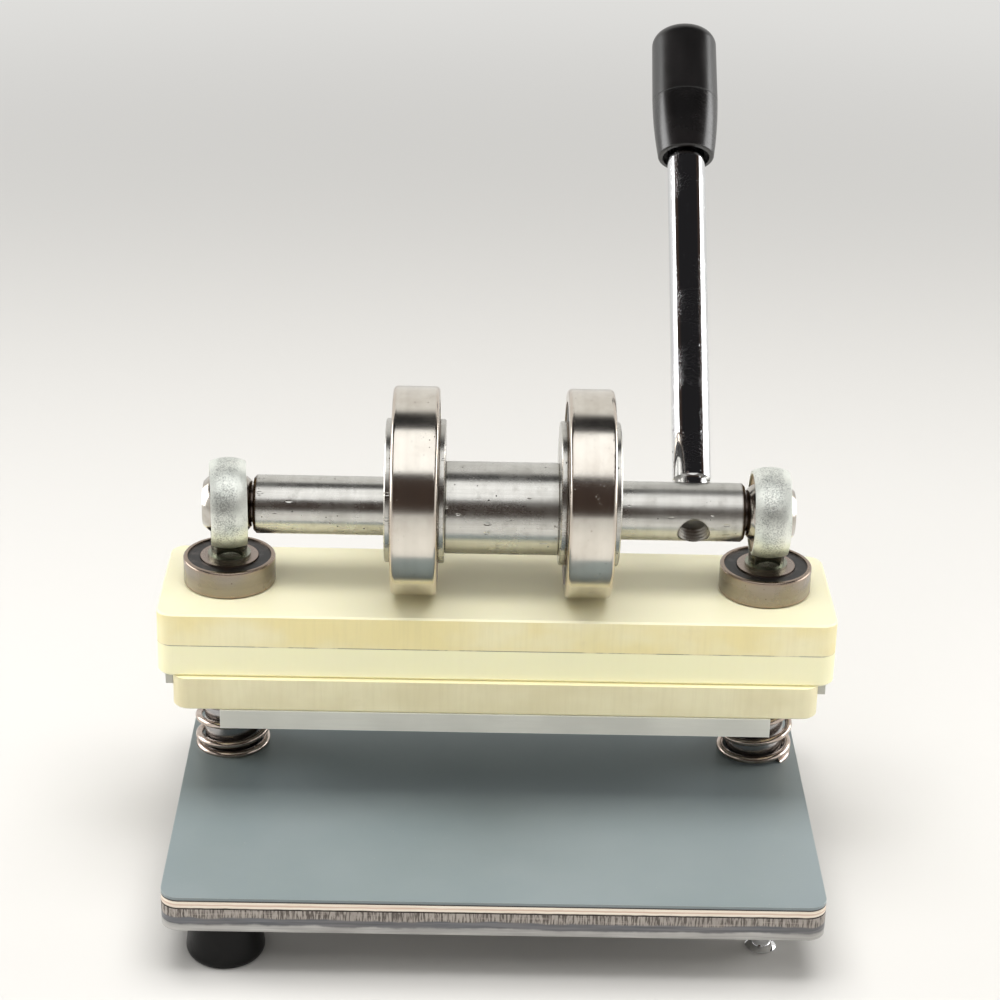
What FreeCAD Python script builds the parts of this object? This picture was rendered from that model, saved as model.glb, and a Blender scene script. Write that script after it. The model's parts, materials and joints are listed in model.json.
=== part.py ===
"""Hand lever cam press for embossing leather belts.

Millimetres. X runs along the camshaft, Y to the back and Z up. The origin is the middle of the
machine's outline, on the surface that the feet stand on. The lever is in its resting place.
"""
import FreeCAD, Part
import Sketcher
import math
import os

Vector = FreeCAD.Vector
doc = FreeCAD.newDocument("BeltPress")

SIZES = [
    # Feet and base
    ("foot_height", 20.5, "Base plate above the bench"),
    ("foot_diameter", 32.6, "Rubber foot at its widest"),
    ("foot_toe_diameter", 29.4, "Rubber foot where it stands"),
    ("foot_top_diameter", 29.0, "Rubber foot under the base plate"),
    ("foot_widest", 4.2, "Widest place of a rubber foot above the bench"),
    ("foot_screw_diameter", 6.0, "Screw through a rubber foot"),
    ("foot_inset", 18.0, "Foot centre in from the front and back edges"),
    ("foot_side_inset", 25.0, "Foot centre in from the side edges"),
    ("leveller_diameter", 13.0, "Levelling screw, its round foot"),
    ("leveller_shank", 7.8, "Levelling screw, thread"),
    ("leveller_inset", 26.5, "Levelling screw in from the front edge"),
    ("leveller_side_inset", 23.2, "Levelling screw in from the side edge"),
    ("base_width", 272.0, "Base, left to right"),
    ("base_depth", 200.0, "Base, front to back"),
    ("base_front", 130.0, "Front edge of the base in front of the camshaft"),
    ("base_corner", 8.0, "Corner radius of the base"),
    ("base_thickness", 10.2, "Steel base plate"),
    ("core_thickness", 3.6, "Board between the steel and the skin"),
    ("skin_thickness", 1.8, "Hard skin that the work lies on"),
    # Posts and springs
    ("shaft_line", -27.0, "Camshaft and posts from the middle of the outline"),
    ("post_inset", 19.0, "Post in from the side edge of the base"),
    ("post_diameter", 25.0, "Guide post"),
    ("post_chamfer", 1.0, "Edge at both ends of a post"),
    ("post_screw_diameter", 12.0, "Screw that holds a post from below"),
    ("post_screw_length", 26.0, "Length of that screw"),
    ("shank_depth", 24.0, "Thread of a rod end inside its post"),
    ("spring_diameter", 33.4, "Spring, outside"),
    ("spring_wire", 3.2, "Spring wire"),
    ("spring_turns", 5.0, "Turns of wire"),
    ("spring_end_lead", 3.7, "Rise of the closed turn at each end"),
    ("spring_ground", 1.7, "Wire ground away at each end"),
    # Press head
    ("daylight", 27.1, "Open height under the press pad"),
    ("head_overhang", 29.0, "Upper and middle plate beyond a post"),
    ("head_depth", 70.0, "Upper and middle plate, front to back"),
    ("lower_overhang", 22.5, "Lower plate beyond a post"),
    ("lower_depth", 74.4, "Lower plate, front to back"),
    ("head_corner", 7.0, "Corner radius of the plates"),
    ("upper_thickness", 15.0, "Upper plate"),
    ("middle_thickness", 14.6, "Middle plate"),
    ("lower_thickness", 14.9, "Lower plate"),
    ("plate_edge", 0.8, "Broken edges of the plates"),
    ("pad_overhang", 2.0, "Press pad beyond a post"),
    ("pad_depth", 75.0, "Press pad, front to back"),
    ("pad_thickness", 8.7, "Press pad"),
    ("spring_clearance", 1.6, "Round a spring in the ends of the pad"),
    ("bush_diameter", 32.0, "Guide bush, outside"),
    ("guide_clearance", 0.05, "Radial clearance of a running fit"),
    ("strip_width", 3.2, "Locating strip, left to right"),
    ("strip_height", 5.5, "Locating strip, height"),
    ("strip_length", 62.0, "Locating strip, front to back"),
    ("plate_screw_diameter", 6.0, "Screw through the plates"),
    ("plate_screw_reach", 9.0, "Its thread inside the upper plate"),
    ("plate_screw_inset", 39.0, "Plate screw in from a post"),
    ("plate_screw_rows", 44.0, "Plate screws, front to back"),
    ("pad_screw_diameter", 4.0, "Screw through the press pad"),
    ("pad_screw_length", 18.0, "Length of that screw"),
    ("pad_screw_inset", 19.0, "Pad screw in from a post"),
    ("pad_screw_rows", 56.0, "Pad screws, front to back"),
    # Camshaft
    ("running_gap", 0.3, "Between the head and what stops or presses it"),
    ("shaft_diameter", 25.4, "Camshaft"),
    ("journal_diameter", 16.0, "Camshaft inside a rod end"),
    ("shoulder_gap", 0.8, "Between a shaft shoulder and its ball"),
    ("shaft_chamfer", 1.2, "Edges of the camshaft"),
    ("cam_throw", 8.9, "Roller centre from the camshaft centre"),
    ("cam_lean", 15.0, "Roller centre in front of upright, at rest"),
    ("cam_middle", 1.1, "Middle of the two rollers from the middle of the machine"),
    ("roller_spacing", 74.6, "Between the two rollers"),
    ("cam_rim_diameter", 62.0, "Rim of a cam hub"),
    ("cam_rim_width", 2.8, "Rim of a cam hub"),
    ("sleeve_diameter", 40.0, "Spacer sleeve"),
    ("key_width", 6.0, "Key"),
    ("key_length", 18.0, "Key"),
    ("key_seat", 3.5, "Key inside the camshaft"),
    ("key_stand", 2.5, "Key inside the hub"),
    # Roller bearings
    ("roller_diameter", 90.0, "Roller, outside"),
    ("roller_bore", 50.0, "Roller, bore"),
    ("roller_width", 20.0, "Roller"),
    ("roller_land", 62.0, "Inner race, outside"),
    ("roller_cup", 79.0, "Outer race, inside"),
    ("roller_ball", 12.7, "Ball of a roller"),
    ("roller_edge", 2.0, "Rounded edge of a roller"),
    # Stop bearings
    ("stop_diameter", 40.0, "Stop bearing, outside"),
    ("stop_bore", 17.0, "Stop bearing, bore"),
    ("stop_width", 12.0, "Stop bearing"),
    ("stop_land", 25.2, "Inner race, outside"),
    ("stop_cup", 36.4, "Outer race, inside"),
    ("stop_edge", 0.8, "Rounded edge of a stop bearing"),
    ("seal_inset", 0.7, "Seal below the face of a race"),
    ("seal_thickness", 1.2, "Seal"),
    ("seal_gap", 0.2, "Between a seal and the inner race"),
    # Rod ends
    ("eye_diameter", 40.0, "Eye of a rod end"),
    ("eye_bore", 34.0, "Eye of a rod end, bore"),
    ("eye_width", 15.6, "Eye of a rod end"),
    ("eye_crown", 1.8, "Drop of the eye's crowned rim at its edges"),
    ("web_width", 11.0, "Web between the eye and the neck, left to right"),
    ("left_swivel", 6.5, "Left rod end turned to the front"),
    ("neck_diameter", 15.6, "Neck of a rod end"),
    ("collar_diameter", 18.6, "Collar at the foot of the neck"),
    ("collar_height", 1.3, "Collar at the foot of the neck"),
    ("shank_diameter", 16.0, "Shank of a rod end"),
    ("liner_width", 14.0, "Liner of a rod end"),
    ("ball_diameter", 28.6, "Ball of a rod end"),
    ("ball_width", 21.0, "Ball of a rod end, over its flats"),
    # Lever
    ("lever_inset", 33.4, "Lever in from the right post"),
    ("lever_lean", 47.0, "Lever behind upright, at rest"),
    ("lever_diameter", 17.1, "Lever bar"),
    ("lever_thread", 14.0, "Thread at the foot of the lever"),
    ("lever_seat", 1.5, "Bottom of the lever hole from the shaft centre"),
    ("lever_shoulder", 13.8, "Where the full bar begins"),
    ("lever_length", 175.6, "Bottom of the grip from the shaft centre"),
    ("tang_diameter", 10.0, "Bar inside the grip"),
    ("tang_length", 34.0, "Bar inside the grip"),
    ("spare_hole_drop", 24.0, "Spare lever hole below level, at the front"),
    ("spare_hole_floor", 4.0, "Bottom of the spare hole from the shaft centre"),
    ("grip_length", 65.8, "Grip"),
    ("grip_foot_diameter", 25.7, "Grip at its bottom"),
    ("grip_diameter", 30.2, "Grip at its widest"),
    ("grip_widest", 30.3, "Widest place of the grip above its bottom"),
    ("grip_top_diameter", 29.8, "Grip under its rounded top"),
    ("grip_round", 6.5, "Rounded top edge of the grip"),
    ("grip_recess", 4.0, "Depth of the recess under the grip"),
]

PLACES = [
    ("base_top", "Sizes.foot_height + Sizes.base_thickness"),
    ("core_top", "base_top + Sizes.core_thickness"),
    ("work_top", "core_top + Sizes.skin_thickness"),
    ("pad_bottom", "work_top + Sizes.daylight"),
    ("lower_bottom", "pad_bottom + Sizes.pad_thickness"),
    ("middle_bottom", "lower_bottom + Sizes.lower_thickness"),
    ("upper_bottom", "middle_bottom + Sizes.middle_thickness"),
    ("upper_top", "upper_bottom + Sizes.upper_thickness"),
    ("stop_bottom", "upper_top + Sizes.running_gap"),
    ("stop_top", "stop_bottom + Sizes.stop_width"),
    ("cam_rise", "Sizes.cam_throw * cos(Sizes.cam_lean)"),
    ("cam_reach", "Sizes.cam_throw * sin(Sizes.cam_lean)"),
    ("roller_height", "upper_top + Sizes.running_gap + Sizes.roller_diameter / 2"),
    ("shaft_height", "roller_height - cam_rise"),
    ("roller_y", "Sizes.shaft_line - cam_reach"),
    ("left_roller_x", "Sizes.cam_middle - Sizes.roller_spacing / 2"),
    ("right_roller_x", "Sizes.cam_middle + Sizes.roller_spacing / 2"),
    ("post_x", "Sizes.base_width / 2 - Sizes.post_inset"),
    ("head_width", "2 * (post_x + Sizes.head_overhang)"),
    ("lower_width", "2 * (post_x + Sizes.lower_overhang)"),
    ("pad_width", "2 * (post_x + Sizes.pad_overhang)"),
    ("plate_screw_spread", "2 * (post_x - Sizes.plate_screw_inset)"),
    ("pad_screw_spread", "2 * (post_x - Sizes.pad_screw_inset)"),
    ("lever_x", "post_x - Sizes.lever_inset"),
    ("post_length", "stop_bottom - base_top"),
    ("neck_drop", "shaft_height - stop_top"),
    ("base_back", "Sizes.base_depth - Sizes.base_front"),
    ("foot_x", "Sizes.base_width / 2 - Sizes.foot_side_inset"),
    ("leveller_x", "Sizes.base_width / 2 - Sizes.leveller_side_inset"),
    ("hub_half", "Sizes.roller_width / 2 + Sizes.cam_rim_width"),
    ("shoulder_x", "post_x - Sizes.ball_width / 2 - Sizes.shoulder_gap"),
    ("shaft_end_x", "post_x + Sizes.ball_width / 2 - Sizes.shoulder_gap"),
]


def fill_sheets():
    """The driving sizes, and the places that follow from them."""
    for name in ("Sizes", "Places"):
        doc.addObject("Spreadsheet::Sheet", name)
    for row, (alias, number, meaning) in enumerate(SIZES, start=1):
        doc.Sizes.set(f"A{row}", alias)
        doc.Sizes.set(f"B{row}", str(number))
        doc.Sizes.setAlias(f"B{row}", alias)
        doc.Sizes.set(f"C{row}", meaning)
    doc.recompute()
    for row, (alias, formula) in enumerate(PLACES, start=1):
        doc.Places.set(f"A{row}", alias)
        doc.Places.set(f"B{row}", "=" + formula)
        doc.Places.setAlias(f"B{row}", alias)
        doc.recompute()


def value(expression):
    """An expression of the sheets, as a number."""
    return float(doc.Sizes.evalExpression(expression))


nodes = {}


def keep(label, piece):
    """Names a finished piece."""
    piece.Label = label
    nodes[label] = piece
    return piece


def place(piece, x="0", y="0", z="0", axis=None, angle="0"):
    """Puts a piece at a place given by expressions, turned about an axis."""
    turn = FreeCAD.Rotation()
    if axis:
        turn = FreeCAD.Rotation(axis, value(angle))
    piece.Placement = FreeCAD.Placement(Vector(value(x), value(y), value(z)), turn)
    piece.setExpression("Placement.Base.x", x)
    piece.setExpression("Placement.Base.y", y)
    piece.setExpression("Placement.Base.z", z)
    if axis:
        piece.setExpression("Placement.Rotation.Angle", f"({angle}) * 1 deg")
    return piece


def bind(feature, **expressions):
    """Binds properties of a feature to expressions."""
    for name, expression in expressions.items():
        feature.setExpression(name, expression)
    return feature


# Sketches


def new_body(label):
    body = doc.addObject("PartDesign::Body", label)
    body.AllowCompound = True
    return keep(label, body)


def new_sketch(body, role, offset=None, tilt=None, out="0"):
    """A sketch on one of the body's own planes, moved along its normal by offset.

    With tilt, the sketch plane turns about X by that angle and lies out from the centre, along its
    new normal.
    """
    sketch = body.newObject("Sketcher::SketchObject", body.Name + "_sketch")
    plane = [item for item in body.Origin.OriginFeatures if item.Role == role][0]
    sketch.AttachmentSupport = [(plane, "")]
    sketch.MapMode = "FlatFace"
    if tilt:
        turn = FreeCAD.Rotation(Vector(1, 0, 0), value(tilt))
        sketch.AttachmentOffset = FreeCAD.Placement(Vector(), turn)
        sketch.setExpression("AttachmentOffset.Rotation.Angle", f"({tilt}) * 1 deg")
        sketch.setExpression("AttachmentOffset.Base.y", f"-({out}) * sin({tilt})")
        sketch.setExpression("AttachmentOffset.Base.z", f"({out}) * cos({tilt})")
    elif offset:
        sketch.setExpression("AttachmentOffset.Base.z", offset)
    return sketch


def pin(sketch, kind, geometry, point, expression):
    """Holds a point of a sketch at a distance from the sketch's origin."""
    constraint = Sketcher.Constraint(kind, -1, 1, geometry, point, value(expression))
    index = sketch.addConstraint(constraint)
    sketch.setExpression(f"Constraints[{index}]", expression)


def radius(sketch, geometry, expression):
    index = sketch.addConstraint(Sketcher.Constraint("Radius", geometry, value(expression)))
    sketch.setExpression(f"Constraints[{index}]", expression)


def arc_between(start, end, size, side):
    """The short arc from start to end; side 1 has its centre on the left of the way."""
    half = (end - start) * 0.5
    left = Vector(-half.y, half.x, 0).normalize()
    rise = math.sqrt(max(size * size - half.Length * half.Length, 0.0))
    centre = start + half + left * (side * rise)
    return Part.Arc(start, centre - left * (side * size), end)


def outline(sketch, points):
    """A closed outline. A point is (x, y), or (x, y, radius, side) where an arc leaves it."""
    first = sketch.GeometryCount
    corners = [Vector(value(point[0]), value(point[1]), 0) for point in points]
    count = len(points)
    for index, point in enumerate(points):
        start = corners[index]
        end = corners[(index + 1) % count]
        if len(point) == 4:
            sketch.addGeometry(arc_between(start, end, value(point[2]), point[3]))
        else:
            sketch.addGeometry(Part.LineSegment(start, end))
    # An arc that turns clockwise is stored the other way round
    ends = [(2, 1) if len(point) == 4 and point[3] < 0 else (1, 2) for point in points]
    for index in range(count):
        following = (index + 1) % count
        sketch.addConstraint(Sketcher.Constraint(
            "Coincident", first + index, ends[index][1], first + following, ends[following][0]))
    for index, point in enumerate(points):
        pin(sketch, "DistanceX", first + index, ends[index][0], point[0])
        pin(sketch, "DistanceY", first + index, ends[index][0], point[1])
        if len(point) == 4:
            radius(sketch, first + index, point[2])


def rectangle(sketch, left, right, bottom, top):
    outline(sketch, [(left, bottom), (right, bottom), (right, top), (left, top)])


def circle(sketch, x, y, size):
    geometry = sketch.GeometryCount
    centre = Vector(value(x), value(y), 0)
    sketch.addGeometry(Part.Circle(centre, Vector(0, 0, 1), value(size)))
    pin(sketch, "DistanceX", geometry, 3, x)
    pin(sketch, "DistanceY", geometry, 3, y)
    radius(sketch, geometry, size)


# Features


def pad(body, sketch, length, midplane=False, reverse=False):
    feature = body.newObject("PartDesign::Pad", body.Name + "_pad")
    feature.Profile = sketch
    feature.Midplane = midplane
    feature.Reversed = reverse
    return bind(feature, Length=length)


def pocket(body, sketch, length, midplane=False, reverse=False):
    """Cuts a sketch out of the body, and makes sure that it did."""
    doc.recompute()
    before = body.Tip.Shape.Volume
    feature = body.newObject("PartDesign::Pocket", body.Name + "_pocket")
    feature.Profile = sketch
    feature.Midplane = midplane
    feature.Reversed = reverse
    bind(feature, Length=length)
    doc.recompute()
    if feature.Shape.Volume > before - 1e-3:
        raise RuntimeError(f"{feature.Name} cuts nothing")
    return feature


def revolve(body, sketch, axis):
    feature = body.newObject("PartDesign::Revolution", body.Name + "_turned")
    feature.Profile = sketch
    feature.ReferenceAxis = (sketch, [axis])
    feature.Angle = 360
    return feature


def drill(body, x, y, z, size, depth):
    """A plain hole upwards from a point."""
    doc.recompute()
    before = body.Tip.Shape.Volume
    feature = body.newObject("PartDesign::SubtractiveCylinder", body.Name + "_hole")
    place(feature, x, y, z)
    bind(feature, Radius=size, Height=depth)
    doc.recompute()
    if feature.Shape.Volume > before - 1e-3:
        raise RuntimeError(f"{feature.Name} cuts nothing")


def countersink(body, x, y, z, mouth, throat):
    """A 90 degree countersink that opens downwards."""
    feature = body.newObject("PartDesign::SubtractiveCone", body.Name + "_sink")
    place(feature, x, y, z)
    bind(feature, Radius1=mouth, Radius2=throat, Height=f"({mouth}) - ({throat})")


def soften(body, size, chosen, kind="Fillet"):
    """Rounds or chamfers the edges of the body for which chosen(edge) holds."""
    doc.recompute()
    base = body.Tip
    names = [f"Edge{index}" for index, edge in enumerate(base.Shape.Edges, start=1) if chosen(edge)]
    feature = body.newObject("PartDesign::" + kind, body.Name + "_edges")
    feature.Base = (base, names)
    if kind == "Fillet":
        bind(feature, Radius=size)
    else:
        bind(feature, Size=size)
    return feature


def upright(edge):
    """A straight edge along Z."""
    ends = [vertex.Point for vertex in edge.Vertexes]
    return len(ends) == 2 and (ends[1] - ends[0]).cross(Vector(0, 0, 1)).Length < 1e-6


def rim_of(size):
    """Chooses the circular edges of one radius."""
    wanted = value(size)

    def is_rim(edge):
        curve = edge.Curve
        return isinstance(curve, Part.Circle) and abs(curve.Radius - wanted) < 1e-4

    return is_rim


def level_at(height, reach):
    """Chooses the level edges at a height that lie on the outside of a board."""
    wanted = value(height)
    inside = value(reach)

    def is_outer(edge):
        box = edge.BoundBox
        flat = abs(box.ZMin - wanted) < 1e-4 and abs(box.ZMax - wanted) < 1e-4
        return flat and (abs(box.Center.x) > inside or abs(box.Center.y) > 5 or box.XLength > 60)

    return is_outer


def turned(label, points, axis="V_Axis", role="XZ_Plane"):
    """A turned piece: an outline spun about the V (upright) or H (level) axis of its sketch."""
    body = new_body(label)
    sketch = new_sketch(body, role)
    outline(sketch, points)
    revolve(body, sketch, axis)
    return body


def group(label, members):
    """Several separate solids that share one name."""
    together = doc.addObject("Part::Compound", label)
    together.Links = members
    return keep(label, together)


# Base


def board(label, width, front, back, thickness, corner, holes):
    """A board with rounded corners; its local Y is measured from the line of the camshaft."""
    body = new_body(label)
    sketch = new_sketch(body, "XY_Plane")
    rectangle(sketch, f"-({width}) / 2", f"({width}) / 2", f"-({front})", back)
    for x, y, size in holes:
        circle(sketch, x, y, size)
    pad(body, sketch, thickness)
    soften(body, corner, upright)
    return body


def both_posts(size):
    return [("-Places.post_x", "0", size), ("Places.post_x", "0", size)]


def feet_places():
    """Where the three rubber feet are, from the line of the camshaft."""
    front = "Sizes.foot_inset - Sizes.base_front"
    back = "Places.base_back - Sizes.foot_inset"
    return {
        "foot_front_left": ("-Places.foot_x", front),
        "foot_rear_left": ("-Places.foot_x", back),
        "foot_rear_right": ("Places.foot_x", back),
    }


LEVELLER = ("Places.leveller_x", "Sizes.leveller_inset - Sizes.base_front")
FOOT_SCREW_THREAD = 8.0
FOOT_SCREW_HEAD = 4.0
THREAD_GAP = 0.05


def make_base():
    outer = ("Sizes.base_width", "Sizes.base_front", "Places.base_back")
    screw = "Sizes.post_screw_diameter / 2 + 0.3"
    steel = board("base_plate", *outer, "Sizes.base_thickness", "Sizes.base_corner", both_posts(screw))
    for x, y, size in both_posts(screw):
        countersink(steel, x, y, "0", "Sizes.post_screw_diameter * 0.92", "Sizes.post_screw_diameter / 2")
    for x, y in feet_places().values():
        drill(steel, x, y, "0", f"Sizes.foot_screw_diameter / 2 + {THREAD_GAP}", f"{FOOT_SCREW_THREAD} + 0.5")
    drill(steel, *LEVELLER, "0", f"Sizes.leveller_shank / 2 + {THREAD_GAP}", "Sizes.base_thickness")
    place(steel, y="Sizes.shaft_line", z="Sizes.foot_height")
    hole = "Sizes.post_diameter / 2 + 0.3"
    core = board("core_board", *outer, "Sizes.core_thickness", "Sizes.base_corner", both_posts(hole))
    place(core, y="Sizes.shaft_line", z="Places.base_top")
    skin = board("work_surface", *outer, "Sizes.skin_thickness", "Sizes.base_corner", both_posts(hole))
    place(skin, y="Sizes.shaft_line", z="Places.core_top")


def make_feet():
    wide = "Sizes.foot_diameter / 2"
    toe = "Sizes.foot_toe_diameter / 2"
    top = "Sizes.foot_top_diameter / 2"
    shank = f"Sizes.foot_screw_diameter / 2 + {THREAD_GAP}"
    pocket_radius = "Sizes.foot_screw_diameter + 0.5"
    seat = "Sizes.foot_height * 0.45"
    profile = [
        (shank, "Sizes.foot_height"),
        (shank, seat),
        (pocket_radius, seat),
        (pocket_radius, "0"),
        (toe, "0", "Sizes.foot_widest * 1.1", 1),
        (wide, "Sizes.foot_widest"),
        (top, "Sizes.foot_height - 1", "1", 1),
        (f"{top} - 1", "Sizes.foot_height"),
    ]
    screws = []
    for label, (x, y) in feet_places().items():
        foot = turned(label, profile)
        line = f"Sizes.shaft_line + {y}"
        place(foot, x, line)
        screws.append(pan_screw(label + "_screw", x, line, seat))
    group("foot_screws", screws)
    disc = "Sizes.leveller_diameter / 2"
    leveller = turned("levelling_screw", [
        ("0", "0"),
        (f"{disc} - 0.5", "0", "0.5", 1),
        (disc, "0.5"),
        (disc, "0.8", f"{disc} * 0.9", 1),
        ("Sizes.leveller_shank / 2", "2.2"),
        ("Sizes.leveller_shank / 2", "Places.base_top - 0.4"),
        ("0", "Places.base_top - 0.4"),
    ])
    place(leveller, LEVELLER[0], f"Sizes.shaft_line + {LEVELLER[1]}")


def pan_screw(name, x, y, seat):
    """A pan head screw upwards through a foot into the base plate."""
    head = doc.addObject("Part::Cylinder", name + "_head")
    bind(head, Radius="Sizes.foot_screw_diameter * 0.85", Height=f"{FOOT_SCREW_HEAD}")
    place(head, x, y, f"{seat} - {FOOT_SCREW_HEAD}")
    shank = doc.addObject("Part::Cylinder", name + "_shank")
    bind(shank, Radius="Sizes.foot_screw_diameter / 2",
         Height=f"Sizes.foot_height + {FOOT_SCREW_THREAD} - ({seat})")
    place(shank, x, y, seat)
    whole = doc.addObject("Part::Fuse", name)
    whole.Base = head
    whole.Tool = shank
    return whole


def countersunk_screw(name, x, y, z, size, length):
    """A countersunk screw with a hexagon socket, upwards from its face at z."""
    head = doc.addObject("Part::Cone", name + "_head")
    bind(head, Radius1=f"{size} * 0.9", Radius2=f"{size} / 2", Height=f"{size} * 0.4")
    place(head, x, y, z)
    shank = doc.addObject("Part::Cylinder", name + "_shank")
    bind(shank, Radius=f"{size} / 2", Height=length)
    place(shank, x, y, z)
    solid = doc.addObject("Part::Fuse", name + "_solid")
    solid.Base = head
    solid.Tool = shank
    socket = doc.addObject("Part::Prism", name + "_socket")
    socket.Polygon = 6
    bind(socket, Circumradius=f"{size} * 0.36", Height=f"{size} * 0.35")
    place(socket, x, y, z)
    whole = doc.addObject("Part::Cut", name)
    whole.Base = solid
    whole.Tool = socket
    return whole


def make_posts():
    outer = "Sizes.post_diameter / 2"
    bottom_hole = f"Sizes.post_screw_diameter / 2 + {THREAD_GAP}"
    bottom_depth = "Sizes.post_screw_length - Sizes.base_thickness + 2"
    top_hole = f"Sizes.shank_diameter / 2 + {THREAD_GAP}"
    top_floor = "Places.post_length - Sizes.shank_depth - 2"
    screws = []
    for side, x in (("left", "-Places.post_x"), ("right", "Places.post_x")):
        post = turned(f"{side}_post", [
            ("0", bottom_depth),
            (bottom_hole, bottom_depth),
            (bottom_hole, "0"),
            (f"{outer} - Sizes.post_chamfer", "0"),
            (outer, "Sizes.post_chamfer"),
            (outer, "Places.post_length - Sizes.post_chamfer"),
            (f"{outer} - Sizes.post_chamfer", "Places.post_length"),
            (top_hole, "Places.post_length"),
            (top_hole, top_floor),
            ("0", top_floor),
        ])
        place(post, x, "Sizes.shaft_line", "Places.base_top")
        screws.append(countersunk_screw(
            f"{side}_post_screw", x, "Sizes.shaft_line", "Sizes.foot_height + 0.2",
            "Sizes.post_screw_diameter", "Sizes.post_screw_length"))
    group("post_screws", screws)


# Springs


def arc_edge(start, way, end):
    """The arc that leaves start along way and reaches end."""
    chord = end - start
    along = Vector(chord).normalize()
    across = way - along * way.dot(along)
    if across.Length < 1e-7:
        return Part.LineSegment(start, end).toShape()
    turn = math.atan2(across.Length, way.dot(along))
    middle = (start + end) * 0.5 + across.normalize() * (chord.Length / 2 * math.tan(turn / 2))
    return Part.Arc(start, middle, end).toShape()


def biarc(start, way_in, end, way_out):
    """Two arcs, smooth where they meet, between two points with given directions."""
    chord = end - start
    ways = way_in + way_out
    bend = 2 * (1 - way_in.dot(way_out))
    reach = (-chord.dot(ways) + math.sqrt(chord.dot(ways) ** 2 + bend * chord.dot(chord))) / bend
    joint = (start + end + (way_in - way_out) * reach) * 0.5
    first = arc_edge(start, way_in, joint)
    second = arc_edge(joint, (joint - start - way_in * reach).normalize(), end)
    return [first, second]


def spring_path(coil, wire, height, turns, end_lead, start_angle):
    """The wire's line: closed turns at both ends and an even rise between them."""
    halves = round(turns * 2)
    lead = (height - wire - 2 * end_lead) / (turns - 2)
    rises = [end_lead / 2 if step < 2 or step >= halves - 2 else lead / 2 for step in range(halves)]
    points = []
    ways = []
    climb = wire / 2
    for step in range(halves + 1):
        angle = math.radians(start_angle) + step * math.pi
        points.append(Vector(coil * math.cos(angle), coil * math.sin(angle), climb))
        before = rises[max(step - 1, 0)]
        after = rises[min(step, halves - 1)]
        slope = (before + after) / 2 / (coil * math.pi)
        ways.append(Vector(-math.sin(angle), math.cos(angle), slope).normalize())
        climb += after
    edges = []
    for step in range(halves):
        edges += biarc(points[step], ways[step], points[step + 1], ways[step + 1])
    return Part.Wire(edges)


def least_gap(path, wire, coil):
    """The smallest gap between two turns of one wire."""
    samples = path.discretize(Number=int(path.Length / 2))
    apart = int(math.pi * coil / 2)
    least = min(
        (first - second).Length
        for index, first in enumerate(samples)
        for second in samples[index + apart:])
    return least - wire


def make_springs():
    wire = value("Sizes.spring_wire")
    coil = value("Sizes.spring_diameter / 2") - wire / 2
    ground = value("Sizes.spring_ground")
    height = value("Places.lower_bottom - Places.work_top - Sizes.running_gap")
    turns = value("Sizes.spring_turns")
    end_lead = value("Sizes.spring_end_lead")
    for side, x, start_angle in (("left", "-Places.post_x", 165), ("right", "Places.post_x", -48)):
        path = spring_path(coil, wire, height + 2 * ground, turns, end_lead, start_angle)
        path.translate(Vector(0, 0, -ground))
        first = path.OrderedEdges[0]
        ring = Part.Circle(first.valueAt(first.FirstParameter), first.tangentAt(first.FirstParameter), wire / 2)
        spring = doc.addObject("Part::Feature", f"{side}_spring")
        wound = path.makePipeShell([Part.Wire(ring.toShape())], True, False)
        spring.Shape = wound.common(Part.makeCylinder(coil + wire, height))
        expected = path.Length * math.pi * wire * wire / 4
        print(f"{side}_spring: least gap {least_gap(path, wire, coil):.2f} mm, "
              f"volume {spring.Shape.Volume / expected:.4f} of wire length times section")
        keep(f"{side}_spring", spring)
        spring.Placement = FreeCAD.Placement(
            Vector(value(x), value("Sizes.shaft_line"), value("Places.work_top")), FreeCAD.Rotation())


# Bearings


def race(label, near, far, half, groove):
    """One race, turned about its local X. Its side at radius near holds the track of the balls."""
    points = [(f"-({half})", far), (f"-({half})", near)]
    if groove:
        track, pitch = groove
        mouth = f"sqrt(({track}) ^ 2 - (({near}) - ({pitch})) ^ 2)"
        points += [(f"-({mouth})", near, track, 1 if value(near) < value(pitch) else -1), (mouth, near)]
    points += [(half, near), (half, far)]
    return turned(label, points, "H_Axis", "XY_Plane")


def bearing(prefix, size, balls, seat):
    """A sealed ball bearing with its axis along its local X. A closed one has no balls or tracks."""
    outer = f"Sizes.{size}_diameter / 2"
    bore = f"Sizes.{size}_bore / 2"
    half = f"Sizes.{size}_width / 2"
    land = f"Sizes.{size}_land / 2"
    cup = f"Sizes.{size}_cup / 2"
    pitch = f"(Sizes.{size}_land + Sizes.{size}_cup) / 4"
    pieces = []
    groove = None
    if balls:
        groove = (f"Sizes.{size}_ball * {TRACK_RATIO}", pitch)
        spheres = []
        for count in range(balls):
            ball = doc.addObject("Part::Sphere", f"{prefix}_ball")
            bind(ball, Radius=f"Sizes.{size}_ball / 2 - {BALL_GAP}")
            angle = 360 * count / balls
            place(ball, "0", f"({pitch}) * sin({angle})", f"({pitch}) * cos({angle})")
            spheres.append(ball)
        pieces.append(group(f"{prefix}_balls", spheres))
    outer_race = race(f"{prefix}_outer_race", cup, outer, half, groove)
    soften(outer_race, f"Sizes.{size}_edge", rim_of(outer))
    inner_race = race(f"{prefix}_inner_race", land, bore, half, groove)
    seals = new_body(f"{prefix}_seals")
    sketch = new_sketch(seals, "XY_Plane")
    outer_face = f"({half}) - Sizes.seal_inset"
    inner_face = f"({half}) - Sizes.seal_inset - Sizes.seal_thickness"
    lip = f"({land}) + Sizes.seal_gap"
    rectangle(sketch, inner_face, outer_face, lip, cup)
    rectangle(sketch, f"-({outer_face})", f"-({inner_face})", lip, cup)
    revolve(seals, sketch, "H_Axis")
    for piece in pieces + [outer_race, inner_race, seals]:
        seat(piece)


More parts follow.
